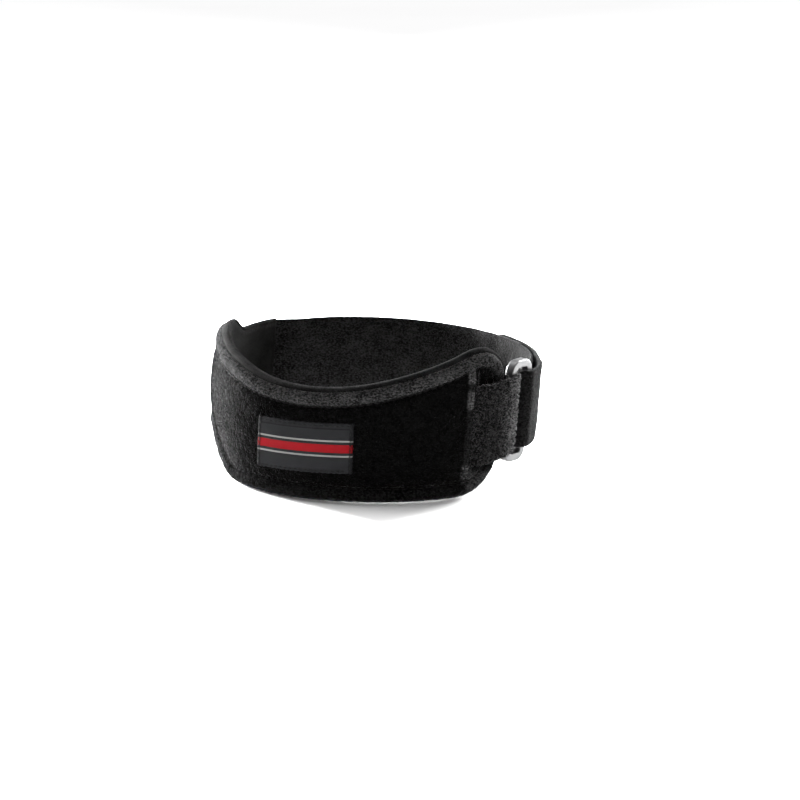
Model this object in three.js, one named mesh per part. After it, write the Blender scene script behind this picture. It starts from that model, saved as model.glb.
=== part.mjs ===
import * as THREE from "three";

// A patella strap fastened in its worn loop. Lengths are in millimetres and angles in degrees.
// +Z runs up the leg, the dip in the panel's top edge faces -Y, and the origin is in the middle of the loop,
// half way up the strap. "Along" is the distance from the dip measured round the panel's face, positive
// towards +X. "Offset" is the distance out from the loop's inner face, square to it.

// Clearances
const CLEARANCE = 0.3; // between pieces that touch
const FOLD_CLEARANCE = 0.4; // between a ring bar and the tape folded round it
const RING_END_CLEARANCE = 2; // between the strap's edges and the ring's end bars

// Loop round the leg: its inner face in plan is a circle, a little oval and a little three-sided
const LOOP_RADIUS = 60.8;
const LOOP_OVAL = 4.2;
const LOOP_OVAL_TURN = 80;
const LOOP_TRIANGLE = 1.2;
const LOOP_TRIANGLE_TURN = -11;
const LEAN = 0.08; // sideways shift of the walls for each millimetre of height
const LEAN_TURN = 28; // direction of that shift, from +X towards +Y

// Panel, as cut flat
const PANEL_RIGHT = 87.6; // from the dip to the end of the wing
const PANEL_LEFT = 130; // from the dip to the sewn end under the strap
const PANEL_DROP = 31.6; // from the strap's middle down to the bottom edge
const DIP_HEIGHT = 44.1; // panel height at the dip
const WING_RISE = 14.9; // from the dip up to the top of the wing
const WING_TOP_RADIUS = 12.5;
const WING_BOTTOM_RADIUS = 19.5;
const TAPER_START = 33; // where the bottom edge starts to rise, left of the dip
const TAPER_LENGTH = 38;
const SEWN_MARGIN = 0.5; // panel past each edge of the strap at the sewn end

// Panel, in section
const LINING_THICKNESS = 2;
const LINING_LIP = 1.4; // lining past the top and the end of the plush
const LINING_BEVEL = 0.65;
const RIM_THICKNESS = 3.6;
const SEAM_INSET = 6; // from the edge to the stitched channel
const SEWN_THICKNESS = 2.4; // plush where the strap is sewn over it
const SEWN_LENGTH = 12;
const THINNING_LENGTH = 14; // where the plush thins out before the sewn end
const RIB_INSET = 17.9; // from the end of the wing back to the rib
const RIB_WIDTH = 3.4;
const RIB_HEIGHT = 0.9;
const RIB_FLAT = 0.4; // share of the rib's width that has its full height
const RIB_FADE = 0.2; // share of the seam inset over which the rib rises, each side of the channel

// Label
const LABEL_WIDTH = 42.3;
const LABEL_HEIGHT = 20.6;
const LABEL_THICKNESS = 0.7;
const LABEL_ALONG = 2.5;
const LABEL_DROP = 9.5; // its middle, below the strap's middle
const LABEL_TILT = 2;

// Strap
const STRAP_WIDTH = 32;
const STRAP_THICKNESS = 2.1;
const STRAP_BEVEL = 0.6;
const STRAP_RAMP = 15; // where the strap steps down off the panel
const FOLD_RAMP = 30; // where the outer layer comes down off the ring
const OVERLAP_LENGTH = 72; // from the ring back to the strap's free end
const STRAP_END_RADIUS = 5;

// Ring and its tab
const RING_GAP = 1.4; // from the end of the lining to the ring
const RING_TILT = -1; // below zero, the near bar is further in than the far one
const RING_WIDTH = 14;
const RING_BAR = 3.2;
const RING_THICKNESS = 3.6;
const RING_CORNER = 5;
const RING_BEVEL = 0.9;
const TAB_THICKNESS = 1.4; // of one of its two layers
const TAB_WRAP = 260; // angle of the near bar that the tab goes round
const TAB_SLOPE = 0.08; // fall of the tab for each millimetre from the ring to the rib

// Facets
const STATION_STEP = 7; // between sections along the loop
const OUTLINE_STEP = 3;
const FOLD_STEPS = 8; // round a ring bar
const STEP_DOWN_STEPS = 5; // where the strap steps down off the panel
const OFF_BAR_STEPS = 8; // where the outer layer comes down off the ring
const ROUND_END_STEPS = 3;
const LABEL_STEPS = 3; // up the label
const RING_CORNER_STEPS = 5;
const RING_BEVEL_STEPS = 2;
const TURN_CORRECTIONS = 20; // passes that find the turn at a distance along

// Sizes that follow from those above
const radians = THREE.MathUtils.degToRad;
const PLUSH_OFFSET = LINING_THICKNESS + CLEARANCE;
const FACE_OFFSET = PLUSH_OFFSET + RIM_THICKNESS;
const DIP_TOP = DIP_HEIGHT - PANEL_DROP;
const SEWN_HALF_HEIGHT = STRAP_WIDTH / 2 + SEWN_MARGIN;
const RING_HEIGHT = STRAP_WIDTH + 2 * (RING_END_CLEARANCE + RING_BAR);
const RIB_ALONG = PANEL_RIGHT - RIB_INSET;
const RING_ALONG = PANEL_RIGHT + LINING_LIP + RING_GAP + RING_WIDTH / 2;
const BAR_SPACING = RING_WIDTH - RING_BAR;
const RING_OFFSET =
  STRAP_THICKNESS + CLEARANCE + RING_THICKNESS / 2 + (BAR_SPACING / 2) * Math.sin(radians(RING_TILT));
const LOOP_LENGTH = 2 * Math.PI * (LOOP_RADIUS + FACE_OFFSET);

// Angles round a ring bar
const OUTWARDS = 90;
const INWARDS = 270;

// Top edge of the panel from the dip to each side: distance as a share of the panel's length on that side,
// rise above the dip as a share of the wing's rise. From the last row the left side falls to the sewn height.
const TOP_EDGE_RIGHT = [
  { along: 0, rise: 0 },
  { along: 0.23, rise: 0.09 },
  { along: 0.46, rise: 0.35 },
  { along: 0.69, rise: 0.73 },
  { along: 0.8, rise: 0.96 },
  { along: 0.855, rise: 1 },
];
const TOP_EDGE_LEFT = [
  { along: 0, rise: 0 },
  { along: 0.15, rise: 0.08 },
  { along: 0.31, rise: 0.32 },
  { along: 0.46, rise: 0.54 },
  { along: 0.56, rise: 0.69 },
  { along: 0.65, rise: 0.74 },
  { along: 0.7, rise: 0.72 },
];
const TOP_EDGE_LEFT_SEWN = 0.83; // share of the left length where the sewn height is reached

// Plush in section: distance from the edge as a share of the seam inset, thickness as a share of the rim's
const PLUSH_PROFILE = [
  { inset: 0, thickness: 0.5 },
  { inset: 0.12, thickness: 0.8 },
  { inset: 0.35, thickness: 1 },
  { inset: 0.7, thickness: 0.95 },
  { inset: 0.93, thickness: 0.72 },
  { inset: 1.1, thickness: 0.74 },
  { inset: 1.4, thickness: 1.02 },
  { inset: 2.1, thickness: 1.24 },
  { inset: 3.3, thickness: 1.33 },
];

// Reads a table at x with a smooth curve through its rows, flat past both ends
function readTable(rows, column, value, x) {
  const last = rows.length - 1;
  if (x <= rows[0][column]) return rows[0][value];
  if (x >= rows[last][column]) return rows[last][value];
  const i = rows.findIndex((row) => row[column] > x) - 1;
  const slope = (j) => {
    if (j === 0 || j === last) return 0;
    const run = rows[j + 1][column] - rows[j - 1][column];
    return (rows[j + 1][value] - rows[j - 1][value]) / run;
  };
  const span = rows[i + 1][column] - rows[i][column];
  const u = (x - rows[i][column]) / span;
  const start = rows[i][value] * (1 + 2 * u) * (1 - u) ** 2 + slope(i) * span * u * (1 - u) ** 2;
  const end = rows[i + 1][value] * (3 - 2 * u) * u ** 2 - slope(i + 1) * span * u ** 2 * (1 - u);
  return start + end;
}

// Plan of the loop. The turn runs from -Y towards +X, and the face at that turn looks outwards along it.
function supportSlope(turn) {
  const oval = 2 * LOOP_OVAL * Math.sin(2 * (turn - radians(LOOP_OVAL_TURN)));
  const triangle = 3 * LOOP_TRIANGLE * Math.sin(3 * (turn - radians(LOOP_TRIANGLE_TURN)));
  return -oval - triangle;
}

function support(turn, offset) {
  const oval = LOOP_OVAL * Math.cos(2 * (turn - radians(LOOP_OVAL_TURN)));
  const triangle = LOOP_TRIANGLE * Math.cos(3 * (turn - radians(LOOP_TRIANGLE_TURN)));
  return LOOP_RADIUS + offset + oval + triangle;
}

function outward(turn) {
  return new THREE.Vector2(Math.sin(turn), -Math.cos(turn));
}

function onward(turn) {
  return new THREE.Vector2(Math.cos(turn), Math.sin(turn));
}

function alongFromStart(turn) {
  const oval = LOOP_OVAL * (1 / 2 - 2) * Math.sin(2 * (turn - radians(LOOP_OVAL_TURN)));
  const triangle = LOOP_TRIANGLE * (1 / 3 - 3) * Math.sin(3 * (turn - radians(LOOP_TRIANGLE_TURN)));
  return (LOOP_RADIUS + FACE_OFFSET) * turn + oval + triangle;
}

function turnAt(along) {
  const target = along + alongFromStart(0);
  let turn = along / (LOOP_RADIUS + FACE_OFFSET);
  for (let i = 0; i < TURN_CORRECTIONS; i += 1) {
    turn += (target - alongFromStart(turn)) / (LOOP_RADIUS + FACE_OFFSET);
  }
  return turn;
}

function planAt(along, offset) {
  const turn = turnAt(along);
  const point = outward(turn).multiplyScalar(support(turn, offset));
  return point.add(onward(turn).multiplyScalar(supportSlope(turn)));
}

function raise(plan, z) {
  const shift = LEAN * z;
  const x = plan.x + shift * Math.cos(radians(LEAN_TURN));
  const y = plan.y + shift * Math.sin(radians(LEAN_TURN));
  return new THREE.Vector3(x, y, z);
}

// Outline of the panel as cut flat. "Grow" moves its top edge and the end of its wing outwards.
function topEdge(along, grow) {
  if (along < 0) {
    const share = -along / PANEL_LEFT;
    const top = DIP_TOP + WING_RISE * readTable(TOP_EDGE_LEFT, "along", "rise", share);
    const down = THREE.MathUtils.smoothstep(share, TOP_EDGE_LEFT.at(-1).along, TOP_EDGE_LEFT_SEWN);
    return grow + top + (SEWN_HALF_HEIGHT - top) * down;
  }
  const cornerAlong = PANEL_RIGHT - WING_TOP_RADIUS;
  if (along <= cornerAlong) {
    return grow + DIP_TOP + WING_RISE * readTable(TOP_EDGE_RIGHT, "along", "rise", along / PANEL_RIGHT);
  }
  const cornerZ = DIP_TOP + WING_RISE - WING_TOP_RADIUS;
  return cornerZ + cornerDepth(along - cornerAlong, WING_TOP_RADIUS + grow);
}

function bottomEdge(along, grow) {
  const cornerAlong = PANEL_RIGHT - WING_BOTTOM_RADIUS;
  if (along > cornerAlong) {
    const run = ((along - cornerAlong) * WING_BOTTOM_RADIUS) / (WING_BOTTOM_RADIUS + grow);
    return WING_BOTTOM_RADIUS - PANEL_DROP - cornerDepth(run, WING_BOTTOM_RADIUS);
  }
  const rise = THREE.MathUtils.smoothstep(-along, TAPER_START, TAPER_START + TAPER_LENGTH);
  return (PANEL_DROP - SEWN_HALF_HEIGHT) * rise - PANEL_DROP;
}

function cornerDepth(run, radius) {
  return Math.sqrt(Math.max(radius ** 2 - run ** 2, 0));
}

// Places along the panel where a section is cut, closer together where the outline turns
function panelStations(grow) {
  const end = PANEL_RIGHT + grow;
  const insets = PLUSH_PROFILE.slice(0, -1).map((row) => end - row.inset * SEAM_INSET);
  const rib = [-1, -RIB_FLAT, RIB_FLAT, 1].map((side) => RIB_ALONG + (side * RIB_WIDTH) / 2);
  const stations = [...insets, ...rib];
  for (let along = RIB_ALONG - STATION_STEP; along > -PANEL_LEFT; along -= STATION_STEP) {
    stations.push(along);
  }
  stations.push(-PANEL_LEFT);
  return [...new Set(stations)].sort((a, b) => a - b);
}

function panelOutline() {
  const count = Math.ceil((PANEL_RIGHT + PANEL_LEFT) / OUTLINE_STEP);
  const alongs = Array.from({ length: count + 1 }, (_, i) => {
    const eased = Math.sin((i / count) * (Math.PI / 2));
    return -PANEL_LEFT + (PANEL_RIGHT + PANEL_LEFT) * eased;
  });
  const bottom = alongs.map((along) => new THREE.Vector2(along, bottomEdge(along, 0)));
  const top = alongs.map((along) => new THREE.Vector2(along, topEdge(along, 0))).reverse();
  return [...bottom, ...top];
}

const OUTLINE = panelOutline();

function edgeDistance(along, z) {
  const here = new THREE.Vector2(along, z);
  let nearest = Infinity;
  for (let i = 0; i < OUTLINE.length - 1; i += 1) {
    const edge = OUTLINE[i + 1].clone().sub(OUTLINE[i]);
    const from = here.clone().sub(OUTLINE[i]);
    const share = THREE.MathUtils.clamp(from.dot(edge) / Math.max(edge.lengthSq(), Number.EPSILON), 0, 1);
    nearest = Math.min(nearest, from.distanceTo(edge.multiplyScalar(share)));
  }
  return nearest;
}

// Thickness of the plush: rolled rim, stitched channel, crowned middle, rib and thin sewn end
function plushThickness(along, z) {
  const inset = edgeDistance(along, z) / SEAM_INSET;
  const padded = RIM_THICKNESS * readTable(PLUSH_PROFILE, "inset", "thickness", inset);
  const fromRib = Math.abs(along - RIB_ALONG) / (RIB_WIDTH / 2);
  const inside = THREE.MathUtils.smoothstep(inset, 1 - RIB_FADE, 1 + RIB_FADE);
  const rib = RIB_HEIGHT * inside * (1 - THREE.MathUtils.smoothstep(fromRib, RIB_FLAT, 1));
  const sewnEnd = PANEL_LEFT - SEWN_LENGTH;
  const sewn = THREE.MathUtils.smoothstep(-along, sewnEnd - THINNING_LENGTH, sewnEnd);
  return THREE.MathUtils.lerp(padded + rib, SEWN_THICKNESS, sewn);
}

// Joins sections, each a closed ring of as many points, into one solid with flat ends
function loft(sections) {
  const size = sections[0].points.length;
  const positions = sections.flatMap((section) => section.points.flatMap((p) => p.toArray()));
  const faces = [];
  for (let i = 0; i < sections.length - 1; i += 1) {
    for (let j = 0; j < size; j += 1) {
      const a = i * size + j;
      const b = i * size + ((j + 1) % size);
      faces.push(a, b, b + size, a, b + size, a + size);
    }
  }
  const last = (sections.length - 1) * size;
  const capOf = (section) => THREE.ShapeUtils.triangulateShape(section.flat, []);
  capOf(sections[0]).forEach(([a, b, c]) => faces.push(a, c, b));
  capOf(sections.at(-1)).forEach(([a, b, c]) => faces.push(last + a, last + b, last + c));
  const geometry = new THREE.BufferGeometry();
  geometry.setAttribute("position", new THREE.Float32BufferAttribute(positions, 3));
  geometry.setIndex(faces);
  geometry.computeVertexNormals();
  return geometry;
}

// A section through the wall at one place along the loop, from points of height and offset
function wallSection(along, flat) {
  const points = flat.map((p) => raise(planAt(along, p.y), p.x));
  return { flat, points };
}

// The strap in section: height across and thickness, with bevelled edges, running counterclockwise
function strapProfile(halfHeight) {
  const half = STRAP_THICKNESS / 2;
  const quarter = [
    [halfHeight - STRAP_BEVEL, half],
    [halfHeight, half - STRAP_BEVEL],
  ];
  const upper = quarter.map(([z, n]) => new THREE.Vector2(z, n));
  const lower = quarter.map(([z, n]) => new THREE.Vector2(z, -n)).reverse();
  const mirrored = [...upper, ...lower].map((p) => new THREE.Vector2(-p.x, p.y)).reverse();
  return [...upper, ...lower, ...mirrored].reverse();
}

// The strap along a route in plan. Each stop has its plan point and half height.
function strapAlong(stops) {
  const sections = stops.map((stop, i) => {
    const before = stops[Math.max(i - 1, 0)].plan;
    const after = stops[Math.min(i + 1, stops.length - 1)].plan;
    const forward = after.clone().sub(before).normalize();
    const side = new THREE.Vector2(forward.y, -forward.x);
    const flat = strapProfile(stop.halfHeight);
    const points = flat.map((p) => raise(stop.plan.clone().addScaledVector(side, p.y), p.x));
    return { flat, points };
  });
  return loft(sections);
}

// The ring in plan: its middle, and the ways round the loop and out through its face
function ringFrame() {
  const turn = turnAt(RING_ALONG);
  const tilt = radians(RING_TILT);
  const middle = planAt(RING_ALONG, RING_OFFSET);
  return { middle, outward: outward(turn + tilt), onward: onward(turn + tilt) };
}

// Points round a ring bar at a distance from it, in plan. The bar is the near one at -1 and the far one at 1.
// Angle 0 faces on round the loop and 90 faces outwards.
function roundBar(bar, distance, fromAngle, toAngle, steps) {
  const frame = ringFrame();
  const centre = frame.middle.clone().addScaledVector(frame.onward, (bar * BAR_SPACING) / 2);
  return Array.from({ length: steps + 1 }, (_, i) => {
    const angle = radians(fromAngle + ((toAngle - fromAngle) * i) / steps);
    const point = centre.clone().addScaledVector(frame.onward, (RING_BAR / 2 + distance) * Math.cos(angle));
    return point.addScaledVector(frame.outward, (RING_THICKNESS / 2 + distance) * Math.sin(angle));
  });
}

// Values from one number to another, both included
function spread(from, to) {
  const count = Math.ceil(Math.abs(to - from) / STATION_STEP);
  return Array.from({ length: count + 1 }, (_, i) => from + ((to - from) * i) / count);
}

// Shares of a way cut into equal steps, both ends left out
function sharesBetween(steps) {
  return Array.from({ length: steps - 1 }, (_, i) => (i + 1) / steps);
}

function frontPad() {
  const sections = panelStations(0).map((along) => {
    const bottom = bottomEdge(along, 0);
    const top = topEdge(along, 0);
    const half = (top - bottom) / 2;
    const insets = PLUSH_PROFILE.slice(0, -1).map((row) => row.inset * SEAM_INSET);
    const reach = Math.min(1, half / (PLUSH_PROFILE.at(-1).inset * SEAM_INSET));
    const lower = insets.map((inset) => bottom + inset * reach);
    const upper = insets.map((inset) => top - inset * reach).reverse();
    const heights = [...lower, (top + bottom) / 2, ...upper];
    const outer = heights.map((z) => new THREE.Vector2(z, PLUSH_OFFSET + plushThickness(along, z)));
    const inner = [new THREE.Vector2(top, PLUSH_OFFSET), new THREE.Vector2(bottom, PLUSH_OFFSET)];
    return wallSection(along, [...outer, ...inner].reverse());
  });
  return loft(sections);
}

function lining() {
  const sections = panelStations(LINING_LIP).map((along) => {
    const bottom = bottomEdge(along, LINING_LIP);
    const top = topEdge(along, LINING_LIP);
    const ring = [
      [bottom, LINING_BEVEL],
      [bottom, LINING_THICKNESS - LINING_BEVEL],
      [bottom + LINING_BEVEL, LINING_THICKNESS],
      [top - LINING_BEVEL, LINING_THICKNESS],
      [top, LINING_THICKNESS - LINING_BEVEL],
      [top, LINING_BEVEL],
      [top - LINING_BEVEL, 0],
      [bottom + LINING_BEVEL, 0],
    ];
    return wallSection(along, ring.map(([z, offset]) => new THREE.Vector2(z, offset)).reverse());
  });
  return loft(sections);
}

function label() {
  const tilt = radians(LABEL_TILT);
  const shares = [0, ...sharesBetween(LABEL_STEPS), 1];
  const rows = shares.map((share) => (share - 1 / 2) * LABEL_HEIGHT);
  const sections = spread(-LABEL_WIDTH / 2, LABEL_WIDTH / 2).map((across) => {
    const pointAt = (up, lift) => {
      const along = LABEL_ALONG + across * Math.cos(tilt) - up * Math.sin(tilt);
      const z = across * Math.sin(tilt) + up * Math.cos(tilt) - LABEL_DROP;
      const offset = PLUSH_OFFSET + plushThickness(along, z) + CLEARANCE + lift;
      return raise(planAt(along, offset), z);
    };
    const ring = [
      ...rows.map((up) => [up, LABEL_THICKNESS]),
      ...rows.map((up) => [up, 0]).reverse(),
    ].reverse();
    return {
      flat: ring.map(([up, lift]) => new THREE.Vector2(up, lift)),
      points: ring.map(([up, lift]) => pointAt(up, lift)),
    };
  });
  return loft(sections);
}

// Loop-pile tape: two layers from the rib over the wing, sewn together, that part round the near bar
function ringTab() {
  const start = RIB_ALONG + RIB_WIDTH / 2 + CLEARANCE;
  const crownOffset = PLUSH_OFFSET + RIM_THICKNESS * PLUSH_PROFILE.at(-1).thickness + CLEARANCE;
  const rimOffset = PLUSH_OFFSET + RIM_THICKNESS + CLEARANCE;
  const wingSide = (lift) =>
    spread(start, PANEL_RIGHT).map((along) => {
      const share = (along - start) / (PANEL_RIGHT - start);
      return planAt(along, THREE.MathUtils.lerp(crownOffset, rimOffset, share) + lift);
    });
  const outside = wingSide(2 * TAB_THICKNESS + CLEARANCE);
  const fold = roundBar(-1, FOLD_CLEARANCE + TAB_THICKNESS, OUTWARDS, OUTWARDS - TAB_WRAP, 2 * FOLD_STEPS);
  const shape = new THREE.Shape([...outside, ...fold, ...wingSide(0).reverse()]);
  shape.holes.push(new THREE.Path(roundBar(-1, FOLD_CLEARANCE, 0, 360, 2 * FOLD_STEPS).slice(1)));
  const geometry = new THREE.ExtrudeGeometry(shape, { depth: STRAP_WIDTH, bevelEnabled: false });
  const position = geometry.getAttribute("position");
  const barPlan = ringFrame().middle;
  for (let i = 0; i < position.count; i += 1) {
    const plan = new THREE.Vector2(position.getX(i), position.getY(i));
    const z = position.getZ(i) - STRAP_WIDTH / 2 - TAB_SLOPE * (plan.distanceTo(barPlan) - BAR_SPACING / 2);
    position.setXYZ(i, ...raise(plan, z).toArray());
  }
  geometry.computeVertexNormals();
  return geometry;
}

function ring() {
  const flatWidth = RING_WIDTH - 2 * RING_BEVEL;
  const flatHeight = RING_HEIGHT - 2 * RING_BEVEL;
  const shape = roundedRectangle(flatWidth, flatHeight, RING_CORNER - RING_BEVEL);
  const holeWidth = RING_WIDTH - 2 * RING_BAR + 2 * RING_BEVEL;
  const holeHeight = RING_HEIGHT - 2 * RING_BAR + 2 * RING_BEVEL;
  shape.holes.push(roundedRectangle(holeWidth, holeHeight, RING_CORNER - RING_BAR + RING_BEVEL));
  const geometry = new THREE.ExtrudeGeometry(shape, {
    depth: RING_THICKNESS - 2 * RING_BEVEL,
    bevelThickness: RING_BEVEL,
    bevelSize: RING_BEVEL,
    bevelSegments: RING_BEVEL_STEPS,
    curveSegments: RING_CORNER_STEPS,
  });
  return geometry.translate(0, 0, RING_BEVEL - RING_THICKNESS / 2);
}

function roundedRectangle(width, height, radius) {
  const right = width / 2 - radius;
  const top = height / 2 - radius;
  const shape = new THREE.Shape();
  shape.absarc(right, top, radius, 0, Math.PI / 2);
  shape.absarc(-right, top, radius, Math.PI / 2, Math.PI);
  shape.absarc(-right, -top, radius, Math.PI, Math.PI * 1.5);
  shape.absarc(right, -top, radius, Math.PI * 1.5, Math.PI * 2);
  return shape;
}

// The ring stands square to the loop and leans with the wall
function placeRing(mesh) {
  const frame = ringFrame();
  const upright = raise(new THREE.Vector2(0, 0), 1).normalize();
  const across = new THREE.Vector3(frame.onward.x, frame.onward.y, 0);
  const facing = across.clone().cross(upright).normalize();
  const level = upright.clone().cross(facing);
  mesh.quaternion.setFromRotationMatrix(new THREE.Matrix4().makeBasis(level, upright, facing));
  mesh.position.copy(raise(frame.middle, 0));
}

// Strap: from the sewn end round the back, through the ring from inside, over its far bar and back on itself
function closureStrap() {
  const sewnOffset = PLUSH_OFFSET + SEWN_THICKNESS + CLEARANCE + STRAP_THICKNESS / 2;
  const flatOffset = STRAP_THICKNESS / 2;
  const stackedOffset = flatOffset + STRAP_THICKNESS + CLEARANCE;
  const barDistance = FOLD_CLEARANCE + STRAP_THICKNESS / 2;
  const overBarOffset = STRAP_THICKNESS + CLEARANCE + RING_THICKNESS + barDistance;
  const farBar = RING_ALONG + BAR_SPACING / 2 - LOOP_LENGTH;
  const rampEnd = -PANEL_LEFT - STRAP_RAMP;
  const rampTo = (from, to, down) => THREE.MathUtils.lerp(from, to, THREE.MathUtils.smoothstep(down, 0, 1));
  const layer = (from, to, offset) => spread(from, to).map((along) => planAt(along, offset));
  const sewn = layer(SEWN_LENGTH - PANEL_LEFT, -PANEL_LEFT - LINING_LIP, sewnOffset);
  const stepDown = sharesBetween(STEP_DOWN_STEPS).map((share) => {
    const along = THREE.MathUtils.lerp(-PANEL_LEFT - LINING_LIP, rampEnd, share);
    return planAt(along, rampTo(sewnOffset, flatOffset, share));
  });
  const round = layer(rampEnd, farBar + RING_BAR, flatOffset);
  const fold = roundBar(1, barDistance, INWARDS, OUTWARDS, FOLD_STEPS);
  const offBar = sharesBetween(OFF_BAR_STEPS).map((share) => {
    const along = farBar + FOLD_RAMP * share;
    return planAt(along, rampTo(overBarOffset, stackedOffset, share));
  });
  const back = layer(farBar + FOLD_RAMP, farBar + OVERLAP_LENGTH, stackedOffset);
  const stops = [...sewn, ...stepDown, ...round, ...fold, ...offBar, ...back];
  const halfHeight = STRAP_WIDTH / 2;
  return strapAlong(roundEnd(stops.map((plan) => ({ plan, halfHeight }))));
}

// Rounds the corners of the strap's free end
function roundEnd(stops) {
  const tip = stops.at(-1);
  const before = stops.at(-2);
  const length = tip.plan.distanceTo(before.plan);
  const rounded = [0, ...sharesBetween(ROUND_END_STEPS), 1].map((share) => {
    const inset = STRAP_END_RADIUS * (1 - Math.sin((share * Math.PI) / 2));
    const plan = tip.plan.clone().lerp(before.plan, inset / length);
    const cut = STRAP_END_RADIUS - Math.sqrt(STRAP_END_RADIUS ** 2 - (STRAP_END_RADIUS - inset) ** 2);
    return { plan, halfHeight: tip.halfHeight - cut };
  });
  return [...stops.slice(0, -1), ...rounded];
}

function piece(name, geometry, color, roughness, metalness) {
  const mesh = new THREE.Mesh(geometry, new THREE.MeshStandardMaterial({ color, roughness, metalness }));
  mesh.name = name;
  return mesh;
}

const strap = new THREE.Group();
const ringMesh = piece("ring", ring(), 0xb8babd, 0.3, 1);
placeRing(ringMesh);
strap.add(
  piece("front_pad", frontPad(), 0x17181a, 0.95, 0),
  piece("lining", lining(), 0x2c2e31, 0.85, 0),
  piece("label", label(), 0x3d3f43, 0.8, 0),
  piece("ring_tab", ringTab(), 0x37393c, 0.98, 0),
  ringMesh,
  piece("closure_strap", closureStrap(), 0x1e2022, 0.95, 0),
);

export default strap;
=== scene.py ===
import math

import bpy
import numpy as np
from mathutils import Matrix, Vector


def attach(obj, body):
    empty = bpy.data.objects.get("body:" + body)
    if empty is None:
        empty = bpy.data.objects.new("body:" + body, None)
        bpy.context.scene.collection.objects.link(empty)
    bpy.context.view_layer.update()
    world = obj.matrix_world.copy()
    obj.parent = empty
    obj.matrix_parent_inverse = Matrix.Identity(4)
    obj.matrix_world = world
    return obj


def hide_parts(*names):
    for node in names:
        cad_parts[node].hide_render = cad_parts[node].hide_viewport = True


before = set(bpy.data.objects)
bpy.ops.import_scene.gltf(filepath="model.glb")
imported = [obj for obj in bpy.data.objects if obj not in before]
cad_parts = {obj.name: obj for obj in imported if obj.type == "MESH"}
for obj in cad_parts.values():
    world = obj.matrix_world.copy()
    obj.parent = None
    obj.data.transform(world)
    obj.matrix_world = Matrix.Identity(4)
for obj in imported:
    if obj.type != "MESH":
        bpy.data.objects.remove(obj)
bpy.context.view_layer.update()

# A patella strap fastened in its worn loop. Lengths are in metres and angles in radians.
# +Z runs up the leg, the dip in the panel's top edge faces -Y, and the origin is in the middle of the loop,
# half way up the strap. "Along" is the distance from the dip measured round the panel's face, positive
# towards +X. "Offset" is the distance out from the loop's inner face, square to it.

# Clearances
CLEARANCE = 0.0003
FOLD_CLEARANCE = 0.0004
RING_END_CLEARANCE = 0.002

# Loop round the leg
LOOP_RADIUS = 0.0608
LOOP_OVAL = 0.0042
LOOP_OVAL_TURN = math.radians(80)
LOOP_TRIANGLE = 0.0012
LOOP_TRIANGLE_TURN = math.radians(-11)
LEAN = 0.08
LEAN_TURN = math.radians(28)
TURN_CORRECTIONS = 20

# Panel, as cut flat
PANEL_RIGHT = 0.0876
PANEL_LEFT = 0.130
PANEL_DROP = 0.0316
DIP_HEIGHT = 0.0441
WING_RISE = 0.0149
WING_TOP_RADIUS = 0.0125
WING_BOTTOM_RADIUS = 0.0195
TAPER_START = 0.033
TAPER_LENGTH = 0.038
SEWN_MARGIN = 0.0005
TOP_EDGE_RIGHT = {"along": (0, 0.23, 0.46, 0.69, 0.8, 0.855), "rise": (0, 0.09, 0.35, 0.73, 0.96, 1)}
TOP_EDGE_LEFT = {"along": (0, 0.15, 0.31, 0.46, 0.56, 0.65, 0.7),
                 "rise": (0, 0.08, 0.32, 0.54, 0.69, 0.74, 0.72)}
TOP_EDGE_LEFT_SEWN = 0.83

# Panel, in section. RIB_START, RIB_FULL and RECESS_FULL count in seam insets, RIB_FLAT in half rib widths,
# RIB_STITCH_ROW in rib widths and LIP_LIT in lengths of the lip's roll.
LINING_THICKNESS = 0.002
LINING_LIP = 0.0014
LINING_ROUND = 0.00095
LIP_ROLL = 0.0018
LIP_ROLL_RADIUS = 0.0018
LIP_ROLL_END = 0.0036
# LIP_LIT: share of the lip's roll over which the painted highlight along the lining's top edge grows
LIP_LIT = 0.6
RIM_THICKNESS = 0.0036
RIM_ROUND = 0.0024
SEAM_INSET = 0.006
SEAM_DEPTH = 0.0005
SEAM_HALF_WIDTH = 0.0007
SEWN_THICKNESS = 0.0024
SEWN_LENGTH = 0.012
THINNING_LENGTH = 0.014
RIB_INSET = 0.0179
RIB_WIDTH = 0.0034
RIB_HEIGHT = 0.0012
RIB_FLAT = 0.55
RIB_START = 0.3
RIB_FULL = 0.7
RIB_STITCH_ROW = 0.28
RIB_STITCH_LIFT = 0.0001
RECESS_DEPTH = 0.0011
RECESS_START = 0.002
RECESS_LENGTH = 0.0025
RECESS_FULL = 1.6
PLUSH_PROFILE = {"inset": (0, 0.35, 0.7, 0.93, 1.1, 1.4, 2.1, 3.3),
                 "thickness": (0.96, 1.02, 0.98, 0.84, 0.86, 1.02, 1.2, 1.3)}

# Label. Its face lies LABEL_SUNK under its solid's, for the hems to rise to it.
LABEL_WIDTH = 0.0423
LABEL_HEIGHT = 0.0206
LABEL_THICKNESS = 0.0007
LABEL_ALONG = 0.0025
LABEL_DROP = 0.0095
LABEL_TILT = math.radians(2)
LABEL_SUNK = 0.0002
LABEL_BACK = 0.00005
LABEL_ROUND = 0.0004
LABEL_HEM = 0.0016
LABEL_HEM_START = 0.8
LABEL_HEM_RISE = 0.00022
LABEL_SEAM = {"inset": 0.0011, "width": 0.0004, "depth": 0.00018, "thread_depth": 0.00015}
LABEL_PULL = {"pitch": 0.0023, "long_edges": 0.000108, "short_edges": 0.00012}

# Strap
STRAP_WIDTH = 0.032
STRAP_THICKNESS = 0.0021
STRAP_RAMP = 0.015
FOLD_RAMP = 0.030
OVERLAP_LENGTH = 0.072
STRAP_END_RADIUS = 0.005
STRAP_EDGE = 0.0009
STRAP_SEAM_INSET = 0.0022
SEWN_BOX = {"start": 0.002, "end": 0.0015}
LOOSE_BOX = {"start": 0.003, "length": 0.034}

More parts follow.
